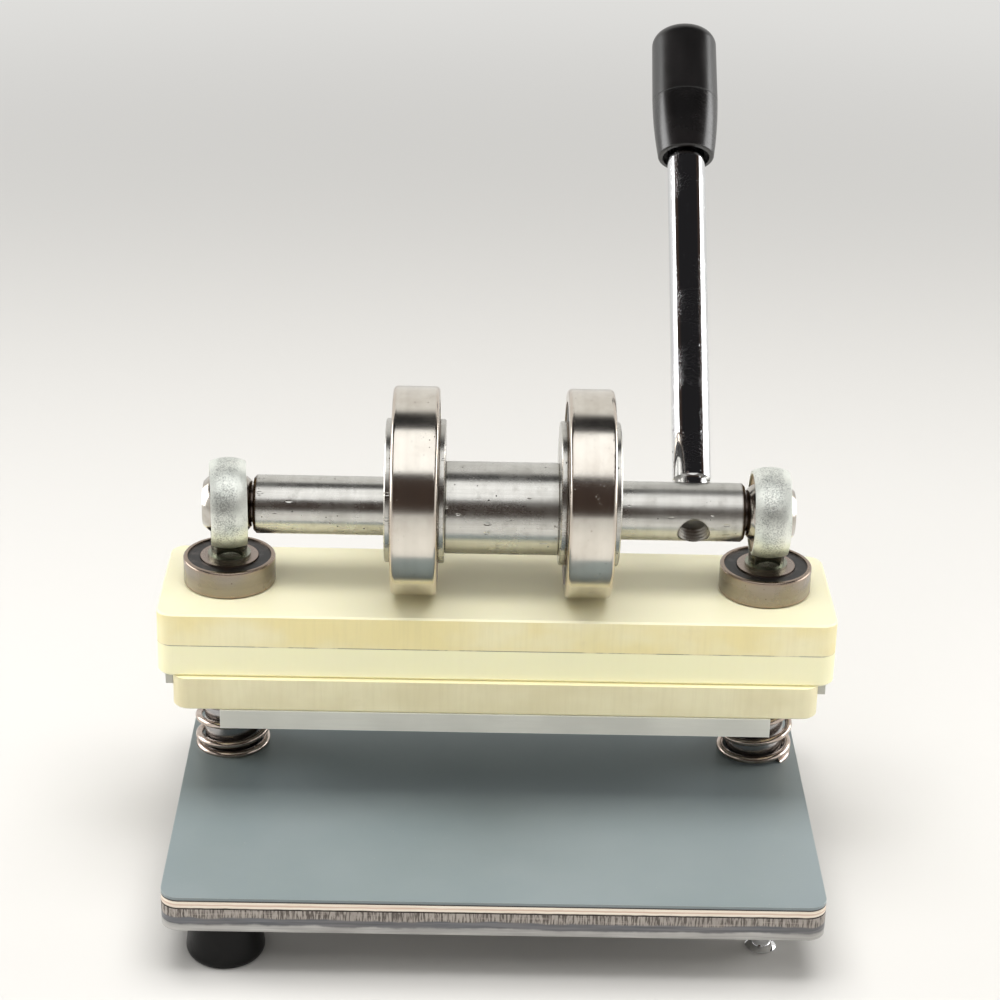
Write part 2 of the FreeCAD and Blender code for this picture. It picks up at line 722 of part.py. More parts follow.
TRACK_RATIO = 0.52
BALL_GAP = 0.05
ROLLER_BALLS = 10


def make_bearings():
    middle = "Places.stop_bottom + Sizes.stop_width / 2"

    def on_hub(piece, side):
        place(piece, f"Places.{side}_roller_x", "Places.roller_y", "Places.roller_height")

    def on_post(piece, x):
        place(piece, x, "Sizes.shaft_line", middle, Vector(0, 1, 0), "-90")

    bearing("left_roller", "roller", ROLLER_BALLS, lambda piece: on_hub(piece, "left"))
    bearing("right_roller", "roller", ROLLER_BALLS, lambda piece: on_hub(piece, "right"))
    bearing("left_stop", "stop", 0, lambda piece: on_post(piece, "-Places.post_x"))
    bearing("right_stop", "stop", 0, lambda piece: on_post(piece, "Places.post_x"))


# Rod ends


def make_rod_ends():
    eye = "Sizes.eye_diameter / 2"
    bore = "Sizes.eye_bore / 2"
    half = "Sizes.eye_width / 2"
    drop = "Sizes.eye_crown"
    crown = f"(({half}) ^ 2 + {drop} ^ 2) / (2 * {drop})"
    ball = "Sizes.ball_diameter / 2"
    seat = f"({ball} + Sizes.guide_clearance)"
    liner_half = "Sizes.liner_width / 2"
    liner_lip = f"sqrt({seat} ^ 2 - ({liner_half}) ^ 2)"
    flat = "Sizes.ball_width / 2"
    flat_radius = f"sqrt(({ball}) ^ 2 - ({flat}) ^ 2)"
    journal = "Sizes.journal_diameter / 2"
    for side, x, swivel in (("left", "-Places.post_x", "Sizes.left_swivel"), ("right", "Places.post_x", "0")):
        rod_end = turned(f"{side}_rod_end", [
            (f"-({half})", bore),
            (half, bore),
            (half, f"{eye} - {drop}", crown, 1),
            (f"-({half})", f"{eye} - {drop}"),
        ], "H_Axis", "XY_Plane")
        neck = new_sketch(rod_end, "XY_Plane", "-Places.neck_drop")
        circle(neck, "0", "0", "Sizes.neck_diameter / 2")
        pad(rod_end, neck, f"Places.neck_drop - {bore} - 0.2")
        web = new_sketch(rod_end, "YZ_Plane")
        shoulder = "(Sizes.eye_bore + Sizes.eye_diameter) / 4"
        foot = "Sizes.neck_diameter * 0.35"
        outline(web, [
            (f"-{foot}", f"-{eye} - 3"),
            (foot, f"-{eye} - 3"),
            (f"({shoulder}) * sin(38)", f"-({shoulder}) * cos(38)", shoulder, -1),
            (f"-({shoulder}) * sin(38)", f"-({shoulder}) * cos(38)"),
        ])
        pad(rod_end, web, "Sizes.web_width", midplane=True)
        collar = new_sketch(rod_end, "XY_Plane", "-Places.neck_drop")
        circle(collar, "0", "0", "Sizes.collar_diameter / 2")
        pad(rod_end, collar, "Sizes.collar_height")
        shank = new_sketch(rod_end, "XY_Plane", "-Places.neck_drop")
        circle(shank, "0", "0", "Sizes.shank_diameter / 2")
        pad(rod_end, shank, "Sizes.stop_width + Sizes.shank_depth", reverse=True)
        place(rod_end, x, "Sizes.shaft_line", "Places.shaft_height", Vector(0, 0, 1), swivel)
        liner = turned(f"{side}_rod_end_liner", [
            (f"-({liner_half})", bore),
            (f"-({liner_half})", liner_lip, seat, -1),
            (liner_half, liner_lip),
            (liner_half, bore),
        ], "H_Axis", "XY_Plane")
        place(liner, x, "Sizes.shaft_line", "Places.shaft_height", Vector(0, 0, 1), swivel)
        sphere = turned(f"{side}_rod_end_ball", [
            (f"-({flat})", journal),
            (f"-({flat})", flat_radius, ball, -1),
            (flat, flat_radius),
            (flat, journal),
        ], "H_Axis", "XY_Plane")
        place(sphere, x, "Sizes.shaft_line", "Places.shaft_height")


# Camshaft


def on_shaft(piece, x="0", turn=None, angle="0"):
    return place(piece, x, "Sizes.shaft_line", "Places.shaft_height", turn, angle)


def make_camshaft():
    thick = "Sizes.shaft_diameter / 2"
    thin = "Sizes.journal_diameter / 2"
    edge = "Sizes.shaft_chamfer"
    shoulder = "Places.shoulder_x"
    tip = "Places.shaft_end_x"
    shaft = turned("camshaft", [
        (f"-{tip}", "0"),
        (tip, "0"),
        (tip, f"{thin} - {edge}"),
        (f"{tip} - {edge}", thin),
        (shoulder, thin),
        (shoulder, f"{thick} - {edge}"),
        (f"{shoulder} - {edge}", thick),
        (f"{edge} - {shoulder}", thick),
        (f"-{shoulder}", f"{thick} - {edge}"),
        (f"-{shoulder}", thin),
        (f"{edge} - {tip}", thin),
        (f"-{tip}", f"{thin} - {edge}"),
    ], "H_Axis", "XY_Plane")
    for x in ("Places.left_roller_x", "Places.right_roller_x"):
        keyway = new_sketch(shaft, "XY_Plane", tilt="Sizes.cam_lean", out=f"{thick} - Sizes.key_seat")
        rectangle(keyway, f"{x} - Sizes.key_length / 2", f"{x} + Sizes.key_length / 2",
                  "-Sizes.key_width / 2", "Sizes.key_width / 2")
        pocket(shaft, keyway, "Sizes.key_seat + 1", reverse=True)
    lever_hole = new_sketch(shaft, "XY_Plane", tilt="-Sizes.lever_lean", out="Sizes.lever_seat")
    circle(lever_hole, "Places.lever_x", "0", "Sizes.lever_thread / 2")
    pocket(shaft, lever_hole, thick, reverse=True)
    spare_hole = new_sketch(
        shaft, "XY_Plane", tilt="90 + Sizes.spare_hole_drop", out="Sizes.spare_hole_floor")
    circle(spare_hole, "Places.lever_x", "0", "Sizes.lever_thread / 2")
    pocket(shaft, spare_hole, thick, reverse=True)
    on_shaft(shaft)
    keys = new_body("cam_keys")
    for x in ("Places.left_roller_x", "Places.right_roller_x"):
        section = new_sketch(keys, "YZ_Plane", x)
        rectangle(section, "-Sizes.key_width / 2", "Sizes.key_width / 2",
                  f"{thick} - Sizes.key_seat", f"{thick} + Sizes.key_stand")
        pad(keys, section, "Sizes.key_length", midplane=True)
    on_shaft(keys, turn=Vector(1, 0, 0), angle="Sizes.cam_lean")


def make_cam_hubs():
    """Local Z points from the camshaft to the roller centre, which is the local origin."""
    bore = "Sizes.shaft_diameter / 2"
    centre = ("0", "-Sizes.cam_throw")
    rim = "Sizes.cam_rim_diameter / 2"
    for side, away in (("left", -1), ("right", 1)):
        hub = new_body(f"{side}_cam_hub")
        section = new_sketch(hub, "YZ_Plane")
        circle(section, "0", "0", "Sizes.roller_bore / 2")
        circle(section, *centre, bore)
        pad(hub, section, "Sizes.roller_width", midplane=True)
        face = f"{away} * Sizes.roller_width / 2"
        flange = new_sketch(hub, "YZ_Plane", face)
        circle(flange, "0", "0", rim)
        circle(flange, *centre, bore)
        pad(hub, flange, "Sizes.cam_rim_width", reverse=away < 0)
        keyway = new_sketch(hub, "YZ_Plane")
        rectangle(keyway, "-Sizes.key_width / 2", "Sizes.key_width / 2",
                  "-Sizes.cam_throw", f"{bore} + Sizes.key_stand - Sizes.cam_throw")
        pocket(hub, keyway, "Sizes.key_length", midplane=True)
        soften(hub, "0.5", rim_of(rim), "Chamfer")
        cap = new_body(f"{side}_cam_cap")
        disc = new_sketch(cap, "YZ_Plane", f"{-away} * Sizes.roller_width / 2")
        circle(disc, "0", "0", rim)
        circle(disc, *centre, bore)
        pad(cap, disc, "Sizes.cam_rim_width", reverse=away > 0)
        soften(cap, "0.5", rim_of(rim), "Chamfer")
        for piece in (hub, cap):
            place(piece, f"Places.{side}_roller_x", "Places.roller_y",
                  "Places.shaft_height + Places.cam_rise", Vector(1, 0, 0), "Sizes.cam_lean")
    half = "(Sizes.roller_spacing / 2 - Places.hub_half)"
    sleeve = turned("spacer_sleeve", [
        (f"-{half}", bore),
        (half, bore),
        (half, "Sizes.sleeve_diameter / 2 - 0.5"),
        (f"{half} - 0.5", "Sizes.sleeve_diameter / 2"),
        (f"0.5 - {half}", "Sizes.sleeve_diameter / 2"),
        (f"-{half}", "Sizes.sleeve_diameter / 2 - 0.5"),
    ], "H_Axis", "XY_Plane")
    on_shaft(sleeve, "Sizes.cam_middle")


def make_lever():
    bar = "Sizes.lever_diameter / 2"
    thread = "Sizes.lever_thread / 2"
    tang = "Sizes.tang_diameter / 2"
    top = "Sizes.lever_length + Sizes.tang_length"
    rod = turned("lever_rod", [
        ("0", "Sizes.lever_seat"),
        (f"{thread} - 1", "Sizes.lever_seat"),
        (thread, "Sizes.lever_seat + 1"),
        (thread, "Sizes.lever_shoulder"),
        (f"{bar} - 0.8", "Sizes.lever_shoulder"),
        (bar, "Sizes.lever_shoulder + 0.8"),
        (bar, "Sizes.lever_length + Sizes.grip_recess"),
        (tang, "Sizes.lever_length + Sizes.grip_recess"),
        (tang, f"{top} - 1"),
        (f"{tang} - 1", top),
        ("0", top),
    ])
    foot = "Sizes.grip_foot_diameter / 2"
    widest = "Sizes.grip_diameter / 2"
    crown = "Sizes.grip_top_diameter / 2"
    grip = turned("lever_grip", [
        (tang, "Sizes.grip_recess"),
        (f"{bar} + 2.2", "Sizes.grip_recess"),
        (f"{bar} + 2.2", "0"),
        (f"{foot} - 1", "0", "1", 1),
        (foot, "1", "Sizes.grip_widest * 7", 1),
        (widest, "Sizes.grip_widest"),
        (crown, "Sizes.grip_length - Sizes.grip_round", "Sizes.grip_round", 1),
        (f"{crown} - Sizes.grip_round", "Sizes.grip_length"),
        ("0", "Sizes.grip_length"),
        ("0", "Sizes.tang_length + 1"),
        (tang, "Sizes.tang_length + 1"),
    ])
    lean = "-Sizes.lever_lean"
    on_shaft(rod, "Places.lever_x", Vector(1, 0, 0), lean)
    place(grip, "Places.lever_x", "Sizes.shaft_line + Sizes.lever_length * sin(Sizes.lever_lean)",
          "Places.shaft_height + Sizes.lever_length * cos(Sizes.lever_lean)", Vector(1, 0, 0), lean)


# Press head


def corners_of(spread, rows):
    """The four corners of a screw pattern."""
    return [(f"{x} * {spread} / 2", f"{y} * {rows} / 2") for x in (-1, 1) for y in (-1, 1)]


def make_press_head():
    bush = "Sizes.bush_diameter / 2"
    plate_screws = corners_of("Places.plate_screw_spread", "Sizes.plate_screw_rows")
    pad_screws = corners_of("Places.pad_screw_spread", "Sizes.pad_screw_rows")
    through = "Sizes.plate_screw_diameter / 2 + 0.3"
    tapped = f"Sizes.plate_screw_diameter / 2 + {THREAD_GAP}"
    head_half = "Sizes.head_depth / 2"
    lower_half = "Sizes.lower_depth / 2"
    upper = board("upper_plate", "Places.head_width", head_half, head_half, "Sizes.upper_thickness",
                  "Sizes.head_corner", both_posts(bush))
    soften(upper, "Sizes.plate_edge", level_at("Sizes.upper_thickness", "Places.post_x + 20"), "Chamfer")
    for x, y in plate_screws:
        drill(upper, x, y, "0", tapped, "Sizes.plate_screw_reach + 0.5")
    place(upper, y="Sizes.shaft_line", z="Places.upper_bottom")
    middle = board("middle_plate", "Places.head_width", head_half, head_half, "Sizes.middle_thickness",
                   "Sizes.head_corner", both_posts(bush) + [(x, y, through) for x, y in plate_screws])
    soften(middle, "Sizes.plate_edge * 1.5", level_at("0", "Places.post_x + 20"), "Chamfer")
    place(middle, y="Sizes.shaft_line", z="Places.middle_bottom")
    lower = board("lower_plate", "Places.lower_width", lower_half, lower_half, "Sizes.lower_thickness",
                  "Sizes.head_corner", both_posts(bush) + [(x, y, through) for x, y in plate_screws])
    soften(lower, "Sizes.plate_edge", level_at("0", "Places.post_x + 20"), "Chamfer")
    for x, y in plate_screws:
        countersink(lower, x, y, "0", "Sizes.plate_screw_diameter", "Sizes.plate_screw_diameter / 2")
    for x, y in pad_screws:
        drill(lower, x, y, "0", f"Sizes.pad_screw_diameter / 2 + {THREAD_GAP}",
              "Sizes.pad_screw_length - Sizes.pad_thickness + 1")
    place(lower, y="Sizes.shaft_line", z="Places.lower_bottom")
    make_press_pad(pad_screws)
    group("plate_screws", [
        countersunk_screw(f"plate_screw_{index}", x, f"Sizes.shaft_line + {y}", "Places.lower_bottom + 0.2",
                          "Sizes.plate_screw_diameter",
                          "Sizes.lower_thickness + Sizes.middle_thickness + Sizes.plate_screw_reach")
        for index, (x, y) in enumerate(plate_screws)])
    group("pad_screws", [
        countersunk_screw(f"pad_screw_{index}", x, f"Sizes.shaft_line + {y}", "Places.pad_bottom + 0.2",
                          "Sizes.pad_screw_diameter", "Sizes.pad_screw_length")
        for index, (x, y) in enumerate(pad_screws)])
    for side, x in (("left", "-Places.post_x"), ("right", "Places.post_x")):
        guide = turned(f"{side}_guide_bush", [
            ("Sizes.post_diameter / 2 + Sizes.guide_clearance", "0"),
            (bush, "0"),
            (bush, "Places.upper_top - Places.lower_bottom"),
            ("Sizes.post_diameter / 2 + Sizes.guide_clearance", "Places.upper_top - Places.lower_bottom"),
        ])
        place(guide, x, "Sizes.shaft_line", "Places.lower_bottom")
    make_strips()


def make_press_pad(pad_screws):
    """The pad, notched at both ends to let the springs pass."""
    body = new_body("press_pad")
    sketch = new_sketch(body, "XY_Plane")
    rectangle(sketch, "-Places.pad_width / 2", "Places.pad_width / 2",
              "-Sizes.pad_depth / 2", "Sizes.pad_depth / 2")
    for x, y in pad_screws:
        circle(sketch, x, y, "Sizes.pad_screw_diameter / 2 + 0.3")
    pad(body, sketch, "Sizes.pad_thickness")
    notch = "Sizes.spring_diameter / 2 + Sizes.spring_clearance"
    for x, y, size in both_posts(notch):
        drill(body, x, y, "0", size, "Sizes.pad_thickness")
    for x, y in pad_screws:
        countersink(body, x, y, "0", "Sizes.pad_screw_diameter", "Sizes.pad_screw_diameter / 2")
    place(body, y="Sizes.shaft_line", z="Places.pad_bottom")


def make_strips():
    strips = []
    for side, x in (("left", "-Places.lower_width / 2 - Sizes.strip_width"), ("right", "Places.lower_width / 2")):
        strip = doc.addObject("Part::Box", f"{side}_strip")
        bind(strip, Length="Sizes.strip_width", Width="Sizes.strip_length", Height="Sizes.strip_height")
        place(strip, x, "Sizes.shaft_line - Sizes.strip_length / 2",
              "Places.middle_bottom - Sizes.strip_height")
        strips.append(strip)
    group("locating_strips", strips)


def check_and_write():
    """Stops on any failed object, then writes one file for each node."""
    doc.recompute()
    for item in doc.Objects:
        if "Invalid" in item.State or "Error" in item.State:
            raise RuntimeError(f"{item.Name} failed: {item.State}")
    for label, piece in nodes.items():
        shape = piece.Shape
        if shape.isNull() or not shape.isValid() or not shape.Solids:
            raise RuntimeError(f"{label} has no valid solid")
    os.makedirs("parts", exist_ok=True)
    for label, piece in nodes.items():
        piece.Shape.exportStep(f"parts/{label}.step")
    print(f"{len(nodes)} nodes written")


fill_sheets()
make_base()
make_feet()
make_posts()
make_springs()
make_bearings()
make_rod_ends()
make_camshaft()
make_cam_hubs()
make_lever()
make_press_head()
check_and_write()
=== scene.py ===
"""Looks of the hand lever cam press for embossing leather belts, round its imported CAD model.

Lengths are in metres in the part's own frame: X along the camshaft, Y to the back, Z up from the
bench. Colours are written as they look on a screen, from 0 to 255.
"""
import json
import math

import bpy
from mathutils import Matrix, Vector


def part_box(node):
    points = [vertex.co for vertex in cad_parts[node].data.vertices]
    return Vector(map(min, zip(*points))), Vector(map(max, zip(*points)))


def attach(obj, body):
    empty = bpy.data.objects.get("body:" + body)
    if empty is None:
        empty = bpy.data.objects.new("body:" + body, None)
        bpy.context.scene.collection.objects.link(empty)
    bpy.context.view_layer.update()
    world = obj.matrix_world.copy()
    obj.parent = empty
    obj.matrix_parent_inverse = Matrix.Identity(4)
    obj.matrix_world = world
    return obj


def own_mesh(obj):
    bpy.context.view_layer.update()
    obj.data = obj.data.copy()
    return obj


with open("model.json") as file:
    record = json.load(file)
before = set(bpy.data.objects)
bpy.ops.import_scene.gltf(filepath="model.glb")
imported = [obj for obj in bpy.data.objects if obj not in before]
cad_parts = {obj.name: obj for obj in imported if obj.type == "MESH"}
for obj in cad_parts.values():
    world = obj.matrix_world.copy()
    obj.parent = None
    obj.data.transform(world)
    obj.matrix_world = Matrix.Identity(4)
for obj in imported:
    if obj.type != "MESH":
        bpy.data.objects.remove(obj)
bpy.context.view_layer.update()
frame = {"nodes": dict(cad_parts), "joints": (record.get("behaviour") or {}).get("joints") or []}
nodes = frame["nodes"]
joints = {joint["name"]: joint for joint in frame["joints"]}

MM = 0.001
SIDES = ("left", "right")
ALONG_SHAFT = (1, 0, 0)
UPWARD = (0, 0, 1)


def middle(node):
    """The middle of a node's box."""
    low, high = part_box(node)
    return (low + high) / 2


SHAFT_LINE = Vector(joints["lever_turn"]["pos_m"])
STOP_BEARING = {side: middle(f"{side}_stop_outer_race") for side in SIDES}
ROLLER = {side: middle(f"{side}_roller_outer_race") for side in SIDES}

# Height at which the rod ends' smooth metallic necks, painted dark as a reflection of the black
# seal below them, go over to their frosted eyes
NECK_TOP = 0.1375

LEVER_LEAN = math.radians(47)
LEVER_WAY = Vector((0, math.sin(LEVER_LEAN), math.cos(LEVER_LEAN)))
GRIP_FOOT = min(LEVER_WAY.dot(vertex.co - SHAFT_LINE)
                for vertex in nodes["lever_grip"].data.vertices)
PARTING_RISE = 29 * MM
PARTING_PLACE = SHAFT_LINE + LEVER_WAY * (GRIP_FOOT + PARTING_RISE)

# The thread of the spare lever hole. Its mouth is measured from the shaft line, and a flank spans
# its share of the pitch.
SPARE_HOLE_DROP = math.radians(24)
THREAD_MOUTH = 11.2 * MM
THREAD_RADIUS = 6.98 * MM
THREAD_DEPTH = 6.6 * MM
THREAD_PITCH = 1.75 * MM
THREAD_TOOTH = 0.75 * MM
THREAD_FLANK = 0.42
STEPS_PER_TURN = 40


# Camera


CAMERA_PLACE = SHAFT_LINE + Vector((-14.76, -1036.61, 469.75)) * MM
CAMERA_PITCH = math.radians(24.2)
CAMERA_YAW = math.radians(0.83)
CAMERA_ROLL = math.radians(1.39)
CAMERA_LENS = 94.76
CAMERA_SENSOR = 36


def make_camera():
    camera = bpy.data.objects.new("camera", bpy.data.cameras.new("camera"))
    bpy.context.scene.collection.objects.link(camera)
    camera.data.lens = CAMERA_LENS
    camera.data.sensor_width = CAMERA_SENSOR
    camera.data.clip_start = 0.05
    camera.data.clip_end = 50
    ahead = Vector((
        math.sin(CAMERA_YAW) * math.cos(CAMERA_PITCH),
        math.cos(CAMERA_YAW) * math.cos(CAMERA_PITCH),
        -math.sin(CAMERA_PITCH),
    ))
    level = Vector((math.cos(CAMERA_YAW), -math.sin(CAMERA_YAW), 0))
    upward = level.cross(ahead)
    across = math.cos(CAMERA_ROLL) * level + math.sin(CAMERA_ROLL) * upward
    up = -math.sin(CAMERA_ROLL) * level + math.cos(CAMERA_ROLL) * upward
    turn = Matrix((across, up, -ahead)).transposed().to_4x4()
    camera.matrix_world = Matrix.Translation(CAMERA_PLACE) @ turn
    bpy.context.scene.camera = camera


# Shader helpers


def paint(red, green, blue):
    """A screen colour as a shader colour."""
    parts = []
    for part in (red, green, blue):
        share = part / 255
        parts.append(share / 12.92 if share <= 0.04045 else ((share + 0.055) / 1.055) ** 2.4)
    return (*parts, 1.0)


def feed(tree, target, source):
    """Sets an input socket, or links another socket to it."""
    if isinstance(source, bpy.types.NodeSocket):
        tree.links.new(source, target)
    else:
        target.default_value = source


def add(tree, kind, inputs=None, **settings):
    """Adds a shader node with its settings, and feeds its inputs by name or number."""
    node = tree.nodes.new("ShaderNode" + kind)
    for name, setting in settings.items():
        setattr(node, name, setting)
    for name, source in (inputs or {}).items():
        feed(tree, node.inputs[name], source)
    return node


def calc(tree, operation, *sources, clamp=False):
    """One sum on numbers or sockets."""
    node = add(tree, "Math", dict(enumerate(sources)), operation=operation, use_clamp=clamp)
    return node.outputs[0]


def plus(tree, start, *terms):
    """A value with others added to it, each times its weight."""
    for value, weight in terms:
        start = calc(tree, "ADD", start, calc(tree, "MULTIPLY", value, weight))
    return start


def apart(tree, first, second):
    """How far two values are apart."""
    return calc(tree, "ABSOLUTE", calc(tree, "SUBTRACT", first, second))


def on_vectors(tree, operation, *sources):
    """One sum on vectors."""
    node = add(tree, "VectorMath", dict(enumerate(sources)), operation=operation)
    return node.outputs["Value" if operation in ("DOT_PRODUCT", "LENGTH") else "Vector"]


def rescale(tree, source, low, high, to_low=0.0, to_high=1.0):
    """Carries the range low to high over to another range, with soft ends."""
    inputs = {"Value": source, "From Min": low, "From Max": high,
              "To Min": to_low, "To Max": to_high}
    return add(tree, "MapRange", inputs, interpolation_type="SMOOTHSTEP").outputs["Result"]


def blend(tree, factor, first, second):
    """Mixes two colours."""
    node = add(tree, "Mix", data_type="RGBA", clamp_factor=True)
    colours = [socket for socket in node.inputs if socket.type == "RGBA"]
    feed(tree, node.inputs[0], factor)
    feed(tree, colours[0], first)
    feed(tree, colours[1], second)
    return [socket for socket in node.outputs if socket.type == "RGBA"][0]


def coated(tree, colour, *coats):
    """A colour with others laid over it, each where its mask is and as strong as its amount."""
    for mask, amount, coat in coats:
        colour = blend(tree, calc(tree, "MULTIPLY", mask, amount), colour, coat)
    return colour


def noise(tree, vector, scale, detail=3.0, roughness=0.5):
    inputs = {"Vector": vector, "Scale": scale, "Detail": detail, "Roughness": roughness}
    return add(tree, "TexNoise", inputs).outputs["Fac"]


def stretched(tree, vector, scale, turn=(0.0, 0.0, 0.0)):
    """Coordinates turned and then scaled along each axis."""
    node = add(tree, "Mapping", {"Vector": vector, "Rotation": turn, "Scale": scale},
               vector_type="POINT")
    return node.outputs["Vector"]


def on_object(tree):
    return add(tree, "TexCoord").outputs["Object"]


def split(tree, vector):
    """The X, Y and Z of a vector."""
    return add(tree, "SeparateXYZ", {"Vector": vector}).outputs


def bumped(tree, height, distance):
    """A normal from a height, which goes from 0 to 1 over the given depth."""
    inputs = {"Height": height, "Distance": distance, "Strength": 1.0}
    return add(tree, "Bump", inputs).outputs["Normal"]


def new_effect(name, inputs, outputs):
    """An empty node group with named inputs and outputs, and the sockets inside it."""
    group = bpy.data.node_groups.new(name, "ShaderNodeTree")
    for label, default in inputs.items():
        kind = "NodeSocketVector" if isinstance(default, tuple) else "NodeSocketFloat"
        socket = group.interface.new_socket(name=label, in_out="INPUT", socket_type=kind)
        socket.default_value = default
    for label in outputs:
        group.interface.new_socket(name=label, in_out="OUTPUT", socket_type="NodeSocketFloat")
    given = group.nodes.new("NodeGroupInput").outputs
    result = group.nodes.new("NodeGroupOutput").inputs
    return group, given, result


def use(tree, effect, **inputs):
    """Places an effect and gives its output, or all of them. An input's name has _ for a space."""
    node = add(tree, "Group", node_tree=effect)
    for name, source in inputs.items():
        feed(tree, node.inputs[name.replace("_", " ")], source)
    return node.outputs if len(node.outputs) > 1 else node.outputs[0]


# Effects that several materials share


def make_turning_marks():
    """Fine lines round an axis, as a lathe or a grinder leaves them, and the place on that axis."""
    group, given, result = new_effect(
        "turning marks",
        {"Centre": (0.0, 0.0, 0.0), "Axis": (1.0, 0.0, 0.0), "Lines per metre": 4000.0},
        ("Lines", "Bands", "Along"))
    place = on_vectors(group, "SUBTRACT", on_object(group), given["Centre"])
    along = on_vectors(group, "DOT_PRODUCT", place, given["Axis"])
    shadow = add(group, "VectorMath", {0: given["Axis"], "Scale": along}, operation="SCALE")
    spoke = on_vectors(group, "SUBTRACT", place, shadow.outputs["Vector"])
    radius = on_vectors(group, "LENGTH", spoke)
    line = add(group, "CombineXYZ", {"X": along, "Y": radius}).outputs["Vector"]
    feed(group, result["Lines"], noise(group, line, given["Lines per metre"], 2.0))
    feed(group, result["Bands"], noise(group, line, 260.0, 3.0))
    feed(group, result["Along"], along)
    return group


def make_edge_wear():
    """A ragged band along the edges of a piece."""
    group, given, result = new_effect(
        "edge wear", {"Width": 0.0008, "Grain": 700.0, "Amount": 1.0}, ("Edge",))
    rounded = add(group, "Bevel", {"Radius": given["Width"]}, samples=4).outputs["Normal"]
    flat = add(group, "NewGeometry").outputs["Normal"]
    bend = calc(group, "SUBTRACT", 1.0, on_vectors(group, "DOT_PRODUCT", rounded, flat))
    ragged = noise(group, on_object(group), given["Grain"], 4.0, 0.65)
    strength = calc(group, "MULTIPLY", bend, rescale(group, ragged, 0.3, 0.7, 1.0, 9.0))
    feed(group, result["Edge"], calc(group, "MULTIPLY", strength, given["Amount"], clamp=True))
    return group


def make_specks():
    """Small scattered spots of uneven size, such as pits, dents, rust or dust."""
    group, given, result = new_effect(
        "specks", {"Per metre": 500.0, "Size": 0.2, "Share": 0.3, "Stretch": (1.0, 1.0, 1.0)},
        ("Specks",))
    place = on_vectors(group, "MULTIPLY", on_object(group), given["Stretch"])
    cells = add(group, "TexVoronoi", {"Vector": place, "Scale": given["Per metre"]})
    pick = add(group, "SeparateColor", {"Color": cells.outputs["Color"]}).outputs["Red"]
    chosen = calc(group, "LESS_THAN", pick, given["Share"])
    growth = rescale(group, pick, 0.0, given["Share"], 0.4, 1.0)
    size = calc(group, "MULTIPLY", given["Size"], growth)
    inside = calc(group, "SUBTRACT", size, cells.outputs["Distance"])
    spot = calc(group, "DIVIDE", inside, calc(group, "MULTIPLY", size, 0.35), clamp=True)
    feed(group, result["Specks"], calc(group, "MULTIPLY", spot, chosen))
    return group


def make_patches():
    """Soft uneven patches with ragged edges."""
    group, given, result = new_effect(
        "patches", {"Per metre": 40.0, "Cover": 0.5, "Softness": 0.12}, ("Patches",))
    cloud = noise(group, on_object(group), given["Per metre"], 5.0, 0.6)
    middle_of_edge = calc(group, "SUBTRACT", 1.0, given["Cover"])
    low = calc(group, "SUBTRACT", middle_of_edge, given["Softness"])
    high = calc(group, "ADD", middle_of_edge, given["Softness"])
    feed(group, result["Patches"], rescale(group, cloud, low, high))
    return group


def make_scratches():
    """Thin straight scratches in three directions."""
    group, given, result = new_effect(
        "scratches", {"Per metre": 60.0, "Fineness": 0.012, "Share": 0.5}, ("Scratches",))
    place = on_object(group)
    total = 0.0
    for turn in ((0.3, 0.9, 0.2), (1.2, 0.1, 1.9), (0.7, 1.6, 2.7)):
        lined = stretched(group, place, (1.0, 14.0, 1.0), turn)
        wave = noise(group, lined, given["Per metre"], 1.0, 0.4)
        thin = rescale(group, apart(group, wave, 0.5), 0.0, given["Fineness"], 1.0, 0.0)
        cloud = noise(group, stretched(group, place, (1.0, 1.0, 1.0), turn), 35.0, 2.0)
        here = rescale(group, cloud, given["Share"], calc(group, "ADD", given["Share"], 0.1))
        total = calc(group, "MAXIMUM", total, calc(group, "MULTIPLY", thin, here))
    feed(group, result["Scratches"], total)
    return group


TURNING_MARKS = make_turning_marks()
EDGE_WEAR = make_edge_wear()
SPECKS = make_specks()
PATCHES = make_patches()
SCRATCHES = make_scratches()


# Materials


def new_material(name):
    material = bpy.data.materials.new(name)
    material.use_nodes = True
    tree = material.node_tree
    return material, tree, tree.nodes["Principled BSDF"]


def finish_with(tree, shader, colour, roughness, normal=None, metallic=None):
    feed(tree, shader.inputs["Base Color"], colour)
    feed(tree, shader.inputs["Roughness"], roughness)
    if normal:
        feed(tree, shader.inputs["Normal"], normal)
    if metallic is not None:
        feed(tree, shader.inputs["Metallic"], metallic)


